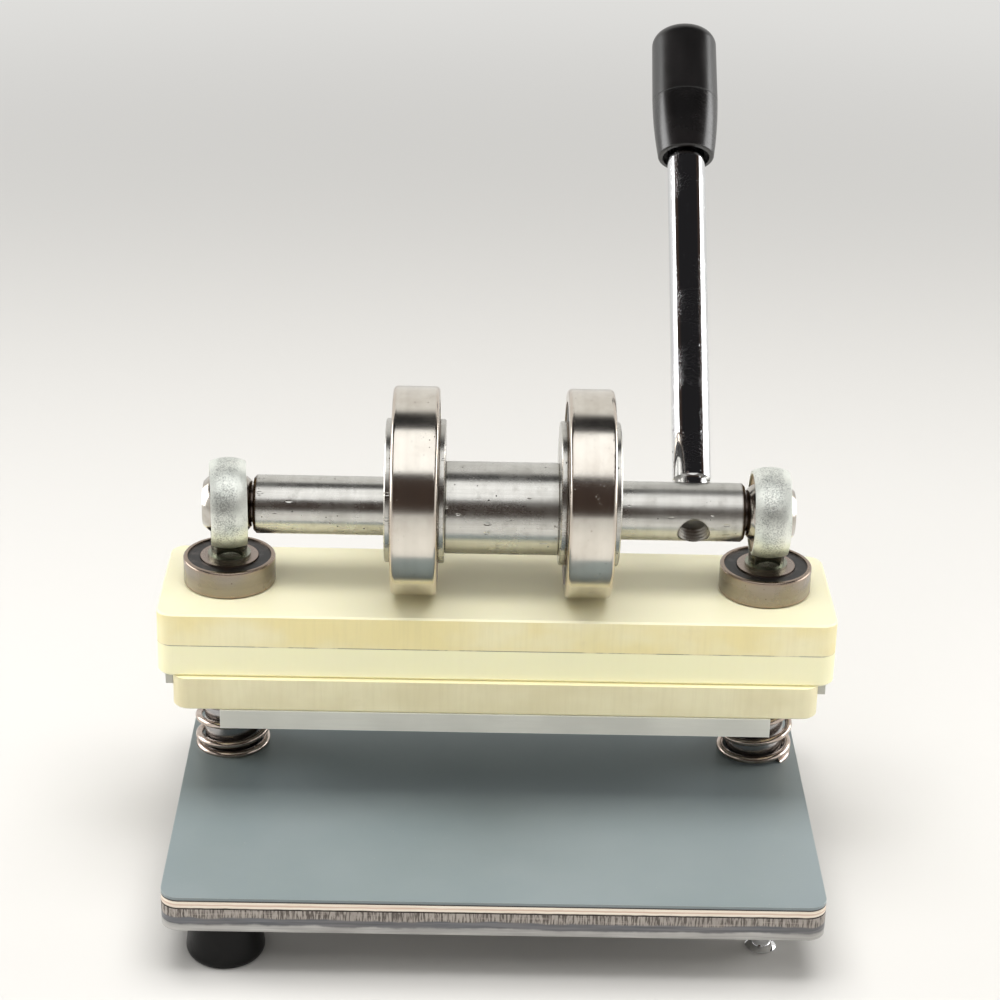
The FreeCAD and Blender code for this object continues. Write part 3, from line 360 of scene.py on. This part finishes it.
def bearing_steel(name, centre, axis, light, dark, roughness, half_width, grain):
    """Ground bearing steel, faintly brown, with stained rims, small dents and a few rust specks.

    The grain draws its reflections out along the axis.
    """
    material, tree, shader = new_material(name)
    marks = use(tree, TURNING_MARKS, Centre=tuple(centre), Axis=axis, Lines_per_metre=9000.0)
    edge = use(tree, EDGE_WEAR, Width=0.0012, Grain=500.0, Amount=0.55)
    rust = use(tree, SPECKS, Per_metre=900.0, Size=0.3, Share=0.05)
    dirty = use(tree, PATCHES, Per_metre=60.0, Cover=0.42, Softness=0.2)
    dents = calc(tree, "MULTIPLY", use(tree, SPECKS, Per_metre=1250.0, Size=0.3, Share=0.3),
                 use(tree, PATCHES, Per_metre=85.0, Cover=0.36, Softness=0.06))
    rim = rescale(tree, calc(tree, "ABSOLUTE", marks["Along"]),
                  half_width - 0.0022, half_width - 0.0006)
    steel = coated(tree, blend(tree, marks["Bands"], dark, light),
                   (dirty, 0.3, paint(176, 160, 146)),
                   (rim, 0.3, paint(176, 146, 126)),
                   (edge, 0.5, paint(164, 132, 112)),
                   (rust, 0.8, paint(70, 52, 42)))
    dull = plus(tree, roughness, (dirty, 0.07), (marks["Lines"], 0.06))
    height = plus(tree, 0.0, (marks["Lines"], 0.08), (dents, -1.0))
    finish_with(tree, shader, steel, dull, bumped(tree, height, 0.00014), 1.0)
    if grain:
        spoke = on_vectors(tree, "SUBTRACT", on_object(tree), tuple(centre))
        round_it = on_vectors(tree, "CROSS_PRODUCT", axis, spoke)
        normal = add(tree, "NewGeometry").outputs["Normal"]
        across = on_vectors(tree, "CROSS_PRODUCT", normal, round_it)
        shader.inputs["Anisotropic"].default_value = grain
        feed(tree, shader.inputs["Tangent"], on_vectors(tree, "NORMALIZE", across))
    return material


def turned_steel():
    """The camshaft, its sleeve, hubs and caps: drawn steel with dents, stains and dark journals."""
    material, tree, shader = new_material("turned steel")
    marks = use(tree, TURNING_MARKS, Centre=tuple(SHAFT_LINE), Axis=ALONG_SHAFT,
                Lines_per_metre=5200.0)
    pits = use(tree, SPECKS, Per_metre=620.0, Size=0.3, Share=0.07)
    dents = use(tree, SPECKS, Per_metre=330.0, Size=0.34, Share=0.16, Stretch=(0.5, 1.2, 1.2))
    stain = use(tree, PATCHES, Per_metre=55.0, Cover=0.4, Softness=0.15)
    smear = use(tree, PATCHES, Per_metre=190.0, Cover=0.38, Softness=0.08)
    edge = use(tree, EDGE_WEAR, Width=0.0009, Grain=600.0, Amount=0.5)
    drawn = noise(tree, stretched(tree, on_object(tree), (26.0, 1500.0, 1500.0)), 1.0, 3.0, 0.6)
    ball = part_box("right_rod_end_ball")[0].x
    journal = rescale(tree, calc(tree, "ABSOLUTE", marks["Along"]), ball - 0.0030, ball - 0.0012)
    right_half = rescale(tree, marks["Along"], 0.05, 0.07)
    steel = coated(tree, blend(tree, marks["Bands"], paint(196, 194, 188), paint(222, 221, 216)),
                   (rescale(tree, drawn, 0.35, 0.65, 0.0, 0.14), 1.0, paint(166, 162, 154)),
                   (stain, 0.22, paint(150, 146, 136)),
                   (smear, 0.18, paint(96, 90, 80)),
                   (pits, 0.85, paint(62, 56, 48)),
                   (edge, 0.5, paint(120, 96, 74)),
                   (journal, 0.85, paint(58, 34, 24)))
    dull = plus(tree, 0.25, (stain, 0.1), (rescale(tree, drawn, 0.3, 0.7, -0.01, 0.02), 1.0),
                (pits, 0.3), (right_half, 0.07))
    height = plus(tree, 0.0, (marks["Lines"], 0.4), (pits, -1.5), (dents, -4.0))
    finish_with(tree, shader, steel, dull, bumped(tree, height, 0.00004), 1.0)
    return material


def zinc_steel():
    """Forged rod ends with a frosted white zinc coat, darker where it is worn on the rim."""
    material, tree, shader = new_material("zinc plated forging")
    place = on_object(tree)
    cloud = use(tree, PATCHES, Per_metre=90.0, Cover=0.45, Softness=0.2)
    worn = use(tree, PATCHES, Per_metre=130.0, Cover=0.42, Softness=0.14)
    edge = use(tree, EDGE_WEAR, Width=0.0012, Grain=500.0, Amount=0.8)
    grit = noise(tree, place, 1500.0, 4.0, 0.7)
    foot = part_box("left_rod_end")[0].z
    across, _, height = split(tree, place)
    neck = rescale(tree, height, NECK_TOP - 0.001, NECK_TOP + 0.001, 1.0, 0.0)
    yellow = rescale(tree, height, NECK_TOP, NECK_TOP + 0.009, 1.0, 0.0)
    off = apart(tree, calc(tree, "ABSOLUTE", across), abs(middle("left_rod_end").x))
    rim = rescale(tree, off, 0.0030, 0.0062, 1.0, 0.0)
    rim = calc(tree, "MULTIPLY", rim,
               rescale(tree, noise(tree, place, 110.0, 3.0), 0.36, 0.5, 0.35, 1.0))
    rim = calc(tree, "MULTIPLY", rim, rescale(tree, height, foot + 0.024, foot + 0.03))
    coat = coated(tree, blend(tree, cloud, paint(236, 240, 232), paint(250, 252, 244)),
                  (rescale(tree, grit, 0.5, 0.62), rescale(tree, worn, 0.0, 1.0, 0.12, 0.7),
                   paint(122, 124, 120)),
                  (rim, rescale(tree, grit, 0.42, 0.6, 0.15, 0.6), paint(122, 124, 121)),
                  (yellow, 0.45, paint(214, 216, 160)),
                  (edge, 0.5, paint(246, 247, 238)),
                  # Painted reflection: the neck is darkened to stand for the black seal it mirrors;
                  # its smoother, fully metallic finish is real
                  (neck, 0.75, paint(104, 106, 98)))
    dull = plus(tree, 0.38, (worn, 0.1), (neck, -0.18))
    forged = plus(tree, noise(tree, place, 520.0, 4.0, 0.55), (grit, 0.4))
    finish_with(tree, shader, coat, dull, bumped(tree, forged, 0.00018),
                rescale(tree, neck, 0.0, 1.0, 0.82, 1.0))
    return material


def chrome(name, rust_from, rust_to):
    """Bright plating with fine scratches, and rust specks that thin out between two heights."""
    material, tree, shader = new_material(name)
    scratches = use(tree, SCRATCHES, Per_metre=240.0, Fineness=0.012, Share=0.52)
    specks = use(tree, SPECKS, Per_metre=520.0, Size=0.34, Share=0.26)
    nicks = use(tree, SPECKS, Per_metre=300.0, Size=0.3, Share=0.14, Stretch=(1.6, 0.7, 0.7))
    hazy = use(tree, PATCHES, Per_metre=70.0, Cover=0.4, Softness=0.15)
    height = split(tree, on_object(tree))["Z"]
    near_foot = rescale(tree, height, rust_from, rust_to, 1.0, 0.06)
    rust = calc(tree, "MULTIPLY", specks, near_foot)
    plate = coated(tree, paint(236, 237, 239),
                   (scratches, 0.35, paint(176, 174, 170)),
                   (rust, 1.0, paint(66, 44, 32)))
    dull = plus(tree, 0.04, (scratches, 0.25), (hazy, 0.05), (rust, 0.5))
    marks = plus(tree, scratches, (nicks, 3.0))
    finish_with(tree, shader, plate, dull, bumped(tree, marks, -0.00001),
                rescale(tree, rust, 0.0, 1.0, 1.0, 0.1))
    return material


def spring_steel():
    """Oiled warm grey spring wire."""
    material, tree, shader = new_material("spring wire")
    stain = use(tree, PATCHES, Per_metre=120.0, Cover=0.45, Softness=0.2)
    drawn = noise(tree, stretched(tree, on_object(tree), (300.0, 300.0, 5000.0)), 1.0, 2.0)
    wire = blend(tree, stain, paint(208, 194, 184), paint(158, 142, 130))
    dull = plus(tree, 0.17, (stain, 0.08))
    finish_with(tree, shader, wire, dull, bumped(tree, drawn, 0.000008), 1.0)
    return material


def plain_steel(name, first, second, roughness):
    """Small steel pieces that are mostly hidden: screws, posts, balls and keys."""
    material, tree, shader = new_material(name)
    stain = use(tree, PATCHES, Per_metre=130.0, Cover=0.5, Softness=0.25)
    edge = use(tree, EDGE_WEAR, Width=0.0006, Grain=900.0, Amount=0.8)
    steel = coated(tree, blend(tree, stain, first, second), (edge, 0.4, paint(222, 220, 214)))
    grain = noise(tree, on_object(tree), 2500.0, 2.0)
    dull = plus(tree, roughness, (stain, 0.06))
    finish_with(tree, shader, steel, dull, bumped(tree, grain, 0.00001), 1.0)
    return material


def bronze():
    """Bearing bronze of the guide bushes and the rod end liners."""
    material, tree, shader = new_material("bearing bronze")
    grain = noise(tree, on_object(tree), 1400.0, 3.0)
    stain = use(tree, PATCHES, Per_metre=200.0, Cover=0.5, Softness=0.2)
    metal = blend(tree, stain, paint(176, 146, 92), paint(112, 88, 58))
    finish_with(tree, shader, metal, rescale(tree, grain, 0.2, 0.8, 0.32, 0.5),
                bumped(tree, grain, 0.00003), 1.0)
    return material


def sawn_nylon(name, node, face, side, seam, saw, stains):
    """Cast nylon plate: smooth cream faces, and cut sides with broad stains and faint blade marks.

    The last three numbers are the strength of the dark line along the lower edge, of the blade
    marks and of the stains.
    """
    material, tree, shader = new_material(name)
    place = on_object(tree)
    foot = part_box(node)[0].z
    level = calc(tree, "ABSOLUTE", split(tree, add(tree, "TexCoord").outputs["Normal"])["Z"])
    upright = rescale(tree, level, 0.2, 0.8, 1.0, 0.0)
    blade = noise(tree, stretched(tree, place, (420.0, 420.0, 30.0)), 1.0, 4.0, 0.6)
    broad = noise(tree, stretched(tree, place, (26.0, 26.0, 40.0)), 1.0, 3.0, 0.5)
    smudge = use(tree, PATCHES, Per_metre=46.0, Cover=0.3, Softness=0.14)
    line_breakup = noise(tree, stretched(tree, place, (60.0, 60.0, 8.0)), 1.0, 4.0, 0.6)
    edge = use(tree, EDGE_WEAR, Width=0.0009, Grain=800.0, Amount=0.7)
    cloud = noise(tree, place, 14.0, 3.0)
    plain = blend(tree, rescale(tree, cloud, 0.35, 0.65), face, paint(253, 247, 210))
    cut = coated(tree, blend(tree, rescale(tree, broad, 0.35, 0.65, 0.0, 0.6), side, face),
                 (rescale(tree, blade, 0.4, 0.7, 0.0, saw), 1.0, paint(206, 193, 146)),
                 (smudge, stains, paint(196, 183, 140)))
    # A darker line along the bottom of the upright sides, broken up by noise.
    line = calc(tree, "MULTIPLY",
                rescale(tree, split(tree, place)["Z"], foot + 0.00015, foot + 0.00045, 1.0, 0.0),
                rescale(tree, line_breakup, 0.38, 0.52, 0.15, seam))
    colour = coated(tree, blend(tree, upright, plain, cut),
                    (edge, 0.25, paint(236, 226, 184)),
                    (line, upright, paint(52, 44, 30)))
    sawn = calc(tree, "MULTIPLY", calc(tree, "MULTIPLY", blade, upright), saw)
    relief = plus(tree, 0.0, (sawn, 2.0), (noise(tree, place, 1800.0, 2.0), 0.25))
    dull = rescale(tree, upright, 0.0, 1.0, 0.4, 0.55)
    finish_with(tree, shader, colour, dull, bumped(tree, relief, 0.00005))
    shader.inputs["Subsurface Weight"].default_value = 0.08
    shader.inputs["Subsurface Radius"].default_value = (0.004, 0.003, 0.0015)
    shader.inputs["Subsurface Scale"].default_value = 0.5
    return material


def pad_plastic():
    """White-grey press pad, smooth underneath with knife-cut sides."""
    material, tree, shader = new_material("press pad plastic")
    place = on_object(tree)
    cloud = noise(tree, place, 22.0, 4.0)
    cut = noise(tree, stretched(tree, place, (70.0, 70.0, 900.0)), 1.0, 3.0)
    rubbed = use(tree, PATCHES, Per_metre=34.0, Cover=0.35, Softness=0.2)
    edge = use(tree, EDGE_WEAR, Width=0.0007, Grain=700.0, Amount=0.8)
    plain = blend(tree, rescale(tree, cloud, 0.3, 0.7), paint(200, 199, 189), paint(216, 215, 204))
    colour = coated(tree, plain,
                    (rescale(tree, cut, 0.4, 0.7, 0.0, 0.2), 1.0, paint(196, 194, 184)),
                    (rubbed, 0.2, paint(206, 200, 186)),
                    (edge, 0.5, paint(244, 244, 238)))
    dull = rescale(tree, cloud, 0.2, 0.8, 0.34, 0.46)
    finish_with(tree, shader, colour, dull, bumped(tree, cut, 0.00003))
    return material


def strip_plastic():
    """Dull grey-white plastic of the locating strips."""
    material, tree, shader = new_material("locating strip plastic")
    cloud = noise(tree, on_object(tree), 120.0, 4.0)
    colour = blend(tree, cloud, paint(176, 176, 168), paint(206, 205, 196))
    finish_with(tree, shader, colour, rescale(tree, cloud, 0.2, 0.8, 0.45, 0.6),
                bumped(tree, noise(tree, on_object(tree), 1500.0), 0.00003))
    return material


def work_skin():
    """Satin blue-grey laminate with faint marks of use and dust, and a dark line under its edge."""
    material, tree, shader = new_material("grey laminate")
    place = on_object(tree)
    cloud = noise(tree, place, 9.0, 4.0, 0.55)
    rubbed = use(tree, PATCHES, Per_metre=16.0, Cover=0.45, Softness=0.2)
    scratches = use(tree, SCRATCHES, Per_metre=90.0, Fineness=0.01, Share=0.55)
    dust = use(tree, SPECKS, Per_metre=420.0, Size=0.12, Share=0.05)
    edge = use(tree, EDGE_WEAR, Width=0.0007, Grain=900.0, Amount=1.0)
    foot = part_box("work_surface")[0].z
    under = rescale(tree, split(tree, place)["Z"], foot + 0.0003, foot + 0.0009, 1.0, 0.0)
    plain = blend(tree, rescale(tree, cloud, 0.3, 0.7), paint(150, 164, 168), paint(162, 174, 178))
    colour = coated(tree, plain,
                    (scratches, 0.16, paint(186, 192, 194)),
                    (dust, 0.5, paint(206, 204, 196)),
                    (edge, 0.4, paint(196, 200, 196)),
                    (under, 1.0, paint(48, 40, 36)))
    dull = plus(tree, 0.36, (rubbed, 0.08))
    finish_with(tree, shader, colour, dull, bumped(tree, noise(tree, place, 900.0, 2.0), 0.00002))
    return material


def wavering_height(tree, place, per_metre, detail, depth):
    """The height of a place, shifted by a slow noise so that level seams waver."""
    shift = calc(tree, "SUBTRACT", noise(tree, place, per_metre, detail), 0.5)
    return plus(tree, split(tree, place)["Z"], (shift, depth))


def core_board():
    """Pale board whose cut edge shows its plies, with a dark line along its bottom."""
    material, tree, shader = new_material("core board")
    place = on_object(tree)
    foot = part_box("core_board")[0].z
    layer = wavering_height(tree, place, 160.0, 3.0, 0.0006)
    plies = noise(tree, stretched(tree, place, (40.0, 40.0, 2600.0)), 1.0, 3.0)
    chips = use(tree, PATCHES, Per_metre=420.0, Cover=0.34, Softness=0.08)
    pink = rescale(tree, apart(tree, layer, foot + 0.0021), 0.0002, 0.0005, 1.0, 0.0)
    # A darker line along the bottom of the board.
    bottom_line = rescale(tree, layer, foot + 0.0005, foot + 0.0009, 1.0, 0.0)
    shade = rescale(tree, plies, 0.35, 0.65)
    colour = coated(tree, blend(tree, shade, paint(232, 216, 198), paint(246, 236, 220)),
                    (pink, 0.55, paint(196, 152, 130)),
                    (bottom_line, 1.0, paint(34, 26, 22)),
                    (chips, 0.16, paint(170, 146, 124)))
    finish_with(tree, shader, colour, 0.7, bumped(tree, calc(tree, "ADD", plies, chips), 0.00008))
    return material


def base_steel():
    """Cut steel plate: a torn pale band with ticks, a smooth dark band and a light lower band."""
    material, tree, shader = new_material("cut base steel")
    place = on_object(tree)
    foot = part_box("base_plate")[0].z
    layer = wavering_height(tree, place, 80.0, 4.0, 0.003)
    torn = rescale(tree, layer, foot + 0.0056, foot + 0.0066)
    lowest = rescale(tree, layer, foot + 0.0024, foot + 0.0036, 1.0, 0.0)
    ticks = noise(tree, stretched(tree, place, (1300.0, 1300.0, 150.0)), 1.0, 3.0, 0.6)
    runs = noise(tree, stretched(tree, place, (30.0, 30.0, 900.0)), 1.0, 4.0, 0.6)
    cloud = noise(tree, place, 40.0, 3.0)
    smooth = blend(tree, rescale(tree, runs, 0.35, 0.65), paint(88, 89, 93), paint(116, 117, 121))
    rough = blend(tree, rescale(tree, ticks, 0.4, 0.56), paint(92, 84, 78), paint(178, 170, 162))
    rough = blend(tree, rescale(tree, runs, 0.56, 0.7, 0.0, 0.5), rough, paint(206, 196, 186))
    light = blend(tree, rescale(tree, runs, 0.3, 0.7), paint(158, 157, 154), paint(190, 188, 184))
    colour = blend(tree, torn, smooth, rough)
    colour = blend(tree, lowest, colour, light)
    colour = blend(tree, rescale(tree, cloud, 0.3, 0.7, 0.0, 0.3), colour, paint(122, 116, 112))
    dull = plus(tree, 0.42, (torn, 0.2))
    relief = calc(tree, "MULTIPLY", ticks, calc(tree, "ADD", torn, 0.1))
    finish_with(tree, shader, colour, dull, bumped(tree, relief, 0.00025), 0.3)
    return material


def foot_rubber():
    """Black rubber with a little bloom and dust."""
    material, tree, shader = new_material("foot rubber")
    bloom = use(tree, PATCHES, Per_metre=120.0, Cover=0.35, Softness=0.2)
    surface = coated(tree, paint(10, 10, 10), (bloom, 0.35, paint(34, 32, 30)))
    finish_with(tree, shader, surface, plus(tree, 0.34, (bloom, 0.2)),
                bumped(tree, noise(tree, on_object(tree), 1600.0, 3.0), 0.00004))
    shader.inputs["Specular IOR Level"].default_value = 0.2
    return material


def seal_rubber(name, centre, axis):
    """Bearing seal, dark and greasy, with its moulded rings and a little dust."""
    material, tree, shader = new_material(name)
    rings = use(tree, TURNING_MARKS, Centre=tuple(centre), Axis=axis, Lines_per_metre=520.0)
    grease = use(tree, PATCHES, Per_metre=260.0, Cover=0.4, Softness=0.15)
    dust = use(tree, SPECKS, Per_metre=900.0, Size=0.2, Share=0.06)
    surface = coated(tree, paint(18, 15, 14),
                     (grease, 0.45, paint(56, 42, 34)),
                     (dust, 0.7, paint(150, 142, 128)))
    finish_with(tree, shader, surface, rescale(tree, grease, 0.0, 1.0, 0.42, 0.26),
                bumped(tree, rings["Lines"], 0.0003))
    return material


def grip_plastic():
    """Satin black grip with a parting line, fine dust and a few handling marks."""
    material, tree, shader = new_material("grip plastic")
    scratches = use(tree, SCRATCHES, Per_metre=140.0, Fineness=0.01, Share=0.5)
    dust = use(tree, SPECKS, Per_metre=700.0, Size=0.12, Share=0.05)
    along = use(tree, TURNING_MARKS, Centre=tuple(PARTING_PLACE), Axis=tuple(LEVER_WAY))["Along"]
    parting = rescale(tree, calc(tree, "ABSOLUTE", along), 0.00008, 0.0003, 1.0, 0.0)
    lower = rescale(tree, along, -0.0002, 0.0002, 1.0, 0.0)
    handled = use(tree, PATCHES, Per_metre=70.0, Cover=0.5, Softness=0.2)
    colour = coated(tree, blend(tree, handled, paint(15, 14, 14), paint(24, 22, 22)),
                    (dust, 0.5, paint(120, 118, 114)),
                    # Painted shade: the parting line's groove is painted darker; its dent in the
                    # bump is real
                    (parting, 0.6, paint(4, 4, 4)))
    dull = plus(tree, 0.3, (scratches, 0.2), (lower, -0.06), (handled, 0.05))
    height = plus(tree, 0.0, (noise(tree, on_object(tree), 60.0, 2.0), 0.3), (parting, -1.0))
    finish_with(tree, shader, colour, dull, bumped(tree, height, 0.0003))
    shader.inputs["Specular IOR Level"].default_value = 0.8
    return material


def dress(names, material):
    """Gives a material to CAD nodes."""
    for name in names:
        data = nodes[name].data
        data.materials.clear()
        data.materials.append(material)


def both(pattern):
    return [pattern.format(side) for side in SIDES]


def dress_bearings(side):
    """The roller and the stop bearing of one side."""
    roller, stop = ROLLER[side], STOP_BEARING[side]
    dress([f"{side}_roller_outer_race", f"{side}_roller_inner_race"],
          bearing_steel(f"{side} roller steel", roller, ALONG_SHAFT,
                        light=paint(234, 229, 219), dark=paint(214, 208, 198),
                        roughness=0.13, half_width=0.010, grain=0.0))
    # Painted shade: the stop bearing race is coloured darker than the roller steel, to stand for
    # the shaded plate top it reflects; its grain is real
    dress([f"{side}_stop_outer_race"],
          bearing_steel(f"{side} stop bearing steel", stop, UPWARD,
                        light=paint(166, 158, 147), dark=paint(134, 126, 116),
                        roughness=0.22, half_width=0.006, grain=0.6))
    dress([f"{side}_stop_inner_race"],
          bearing_steel(f"{side} stop bearing bore steel", stop, UPWARD,
                        light=paint(160, 156, 152), dark=paint(122, 117, 112),
                        roughness=0.24, half_width=0.006, grain=0.6))
    dress([f"{side}_roller_seals"], seal_rubber(f"{side} roller seal", roller, ALONG_SHAFT))
    dress([f"{side}_stop_seals"], seal_rubber(f"{side} stop seal", stop, UPWARD))


def dress_all():
    for side in SIDES:
        dress_bearings(side)
    dress(["camshaft", "spacer_sleeve"] + both("{}_cam_hub") + both("{}_cam_cap"), turned_steel())
    dress(both("{}_rod_end"), zinc_steel())
    dress(["lever_rod"], chrome("lever plating", SHAFT_LINE.z + 0.014, SHAFT_LINE.z + 0.05))
    dress(["levelling_screw"], chrome("screw plating", 0.0, 0.02))
    dress(both("{}_spring"), spring_steel())
    dress(both("{}_post"),
          plain_steel("ground post", paint(176, 176, 178), paint(150, 148, 146), roughness=0.2))
    dress(both("{}_rod_end_ball") + both("{}_roller_balls"),
          plain_steel("bearing ball", paint(206, 202, 196), paint(176, 170, 160), roughness=0.12))
    dress(["plate_screws", "pad_screws", "post_screws", "foot_screws", "cam_keys"],
          plain_steel("screw steel", paint(150, 150, 152), paint(120, 118, 116), roughness=0.32))
    dress(both("{}_guide_bush") + both("{}_rod_end_liner"), bronze())
    dress(["upper_plate"],
          sawn_nylon("upper plate nylon", "upper_plate", face=paint(252, 246, 212),
                     side=paint(246, 231, 172), seam=0.8, saw=0.1, stains=0.3))
    dress(["middle_plate"],
          sawn_nylon("middle plate nylon", "middle_plate", face=paint(254, 248, 208),
                     side=paint(255, 250, 206), seam=0.05, saw=0.02, stains=0.05))
    dress(["lower_plate"],
          sawn_nylon("lower plate nylon", "lower_plate", face=paint(248, 241, 204),
                     side=paint(231, 221, 181), seam=0.35, saw=0.14, stains=0.35))
    dress(["press_pad"], pad_plastic())
    dress(["locating_strips"], strip_plastic())
    dress(["work_surface"], work_skin())
    dress(["core_board"], core_board())
    dress(["base_plate"], base_steel())
    dress(["foot_front_left", "foot_rear_left", "foot_rear_right"], foot_rubber())
    dress(["lever_grip"], grip_plastic())


# Shapes beside the CAD ones


def cut_thread(name, mouth, way):
    """The ridge of a screw thread inside a round hole, as one helical piece."""
    side = way.orthogonal().normalized()
    over = way.cross(side)
    steps = int(THREAD_DEPTH / THREAD_PITCH * STEPS_PER_TURN)
    flank = way * THREAD_PITCH * THREAD_FLANK
    corners, faces = [], []
    for step in range(steps + 1):
        angle = step / STEPS_PER_TURN * math.tau
        spoke = side * math.cos(angle) + over * math.sin(angle)
        centre = mouth + way * (THREAD_DEPTH * step / steps)
        corners.append(centre + spoke * THREAD_RADIUS - flank)
        corners.append(centre + spoke * (THREAD_RADIUS - THREAD_TOOTH))
        corners.append(centre + spoke * THREAD_RADIUS + flank)
        if step:
            new, old = 3 * step, 3 * step - 3
            for first, second in ((0, 1), (1, 2), (2, 0)):
                faces.append((old + first, old + second, new + second, new + first))
    faces += [(0, 2, 1), (3 * steps, 3 * steps + 1, 3 * steps + 2)]
    data = bpy.data.meshes.new(name)
    data.from_pydata([tuple(corner) for corner in corners], [], faces)
    data.materials.append(nodes["camshaft"].data.materials[0])
    piece = bpy.data.objects.new(name, data)
    bpy.context.scene.collection.objects.link(piece)
    return piece


def make_spare_hole_thread():
    """The spare lever hole on the front of the shaft is threaded, which its dark mouth shows."""
    inward = Vector((0, math.cos(SPARE_HOLE_DROP), math.sin(SPARE_HOLE_DROP)))
    mouth = Vector((middle("lever_rod").x, SHAFT_LINE.y, SHAFT_LINE.z)) - inward * THREAD_MOUTH
    thread = cut_thread("spare_hole_thread", mouth, inward)
    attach(thread, "camshaft_unit")


def press_springs():
    """Gives each spring its own copy of its mesh."""
    for name in both("{}_spring"):
        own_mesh(nodes[name])


# Studio


FLOOR_COLOUR = paint(204, 202, 198)
FLOOR_RADIUS = 6.0
BACKDROP_COLOUR = paint(240, 239, 236)
ROOM_COLOUR = paint(62, 50, 44)
CEILING_COLOUR = paint(34, 33, 34)
WORLD_LIGHT = 0.2
MACHINE = (0.0, -0.03, 0.14)


def make_floor():
    """The pale floor, which far off goes over to the backdrop's colour."""
    bpy.ops.mesh.primitive_circle_add(vertices=96, radius=FLOOR_RADIUS, fill_type="NGON")
    floor = bpy.context.object
    floor.name = "floor"
    material, tree, shader = new_material("floor")
    finish_with(tree, shader, FLOOR_COLOUR, 0.75)
    far = rescale(tree, on_vectors(tree, "LENGTH", on_object(tree)), 0.35, 1.7)
    path = add(tree, "LightPath").outputs
    mirrored = calc(tree, "MAXIMUM", path["Is Glossy Ray"], path["Is Transmission Ray"])
    seen = calc(tree, "MAXIMUM", path["Is Camera Ray"], mirrored)
    glow = add(tree, "Emission", {"Color": BACKDROP_COLOUR, "Strength": 0.86})
    mix = add(tree, "MixShader", {0: calc(tree, "MULTIPLY", far, seen)})
    tree.links.new(shader.outputs[0], mix.inputs[1])
    tree.links.new(glow.outputs[0], mix.inputs[2])
    tree.links.new(mix.outputs[0], tree.nodes["Material Output"].inputs["Surface"])
    floor.data.materials.append(material)


def make_world():
    """A pale backdrop, which reflections see only behind, low at the sides and below.

    In front and above they see a dark room instead, so that bright steel shows dark bands.
    """
    world = bpy.data.worlds.new("studio")
    bpy.context.scene.world = world
    world.use_nodes = True
    tree = world.node_tree
    tree.nodes.clear()
    way = split(tree, add(tree, "TexCoord").outputs["Generated"])
    not_behind = rescale(tree, way["Y"], 0.42, 0.56, 1.0, 0.0)
    sideways = rescale(tree, calc(tree, "ABSOLUTE", way["X"]), 0.66, 0.78)
    low_side = calc(tree, "MULTIPLY", sideways, rescale(tree, way["Z"], 0.36, 0.46, 1.0, 0.0))
    room = calc(tree, "MULTIPLY", not_behind, calc(tree, "SUBTRACT", 1.0, low_side))
    room = calc(tree, "MULTIPLY", room, rescale(tree, way["Z"], -0.2, -0.1))
    path = add(tree, "LightPath").outputs
    mirrored = calc(tree, "MAXIMUM", path["Is Glossy Ray"], path["Is Transmission Ray"])
    seen = calc(tree, "MAXIMUM", path["Is Camera Ray"], mirrored)
    dark = blend(tree, rescale(tree, way["Z"], 0.55, 0.7), ROOM_COLOUR, CEILING_COLOUR)
    colour = blend(tree, calc(tree, "MULTIPLY", room, mirrored), BACKDROP_COLOUR, dark)
    strength = rescale(tree, seen, 0.0, 1.0, WORLD_LIGHT, 1.0)
    light = add(tree, "Background", {"Color": colour, "Strength": strength})
    output = add(tree, "OutputWorld")
    tree.links.new(light.outputs[0], output.inputs["Surface"])


def softbox(name, place, width, height, power, mirrored=True, kept_off=()):
    """A rectangular lamp that points at the machine. Flags keep it off the named pieces."""
    lamp = bpy.data.lights.new(name, "AREA")
    lamp.shape = "RECTANGLE"
    lamp.size = width
    lamp.size_y = height
    lamp.energy = power
    holder = bpy.data.objects.new(name, lamp)
    bpy.context.scene.collection.objects.link(holder)
    aim = (Vector(MACHINE) - Vector(place)).to_track_quat("-Z", "Y")
    holder.matrix_world = Matrix.Translation(place) @ aim.to_matrix().to_4x4()
    holder.visible_camera = False
    holder.visible_glossy = mirrored
    if kept_off:
        flagged = bpy.data.collections.new(name + " flags")
        holder.light_linking.receiver_collection = flagged
        for piece in kept_off:
            flagged.objects.link(nodes[piece])
        for member in flagged.collection_objects:
            member.light_linking.link_state = "EXCLUDE"


def make_lamps():
    front_flags = ("lever_rod", "lever_grip", "work_surface")
    softbox("key softbox", (0.0, -0.5, 1.3), 1.7, 1.15, 8.5, kept_off=front_flags)
    softbox("rear overhead softbox", (0.0, 0.26, 1.3), 1.3, 0.5, 12, mirrored=False,
            kept_off=("upper_plate",))
    softbox("front overhead softbox", (0.0, -0.22, 1.3), 1.2, 0.4, 7.5, mirrored=False,
            kept_off=("work_surface",))
    softbox("front fill", (0.0, -1.5, 0.4), 1.4, 0.7, 6, mirrored=False, kept_off=front_flags)
    softbox("left softbox", (-1.25, 0.25, 0.4), 1.0, 0.75, 9)
    softbox("right softbox", (1.25, 0.25, 0.4), 1.0, 0.75, 8)


bpy.context.scene.view_settings.view_transform = "Standard"
make_camera()
dress_all()
make_spare_hole_thread()
press_springs()
make_floor()
make_world()
make_lamps()
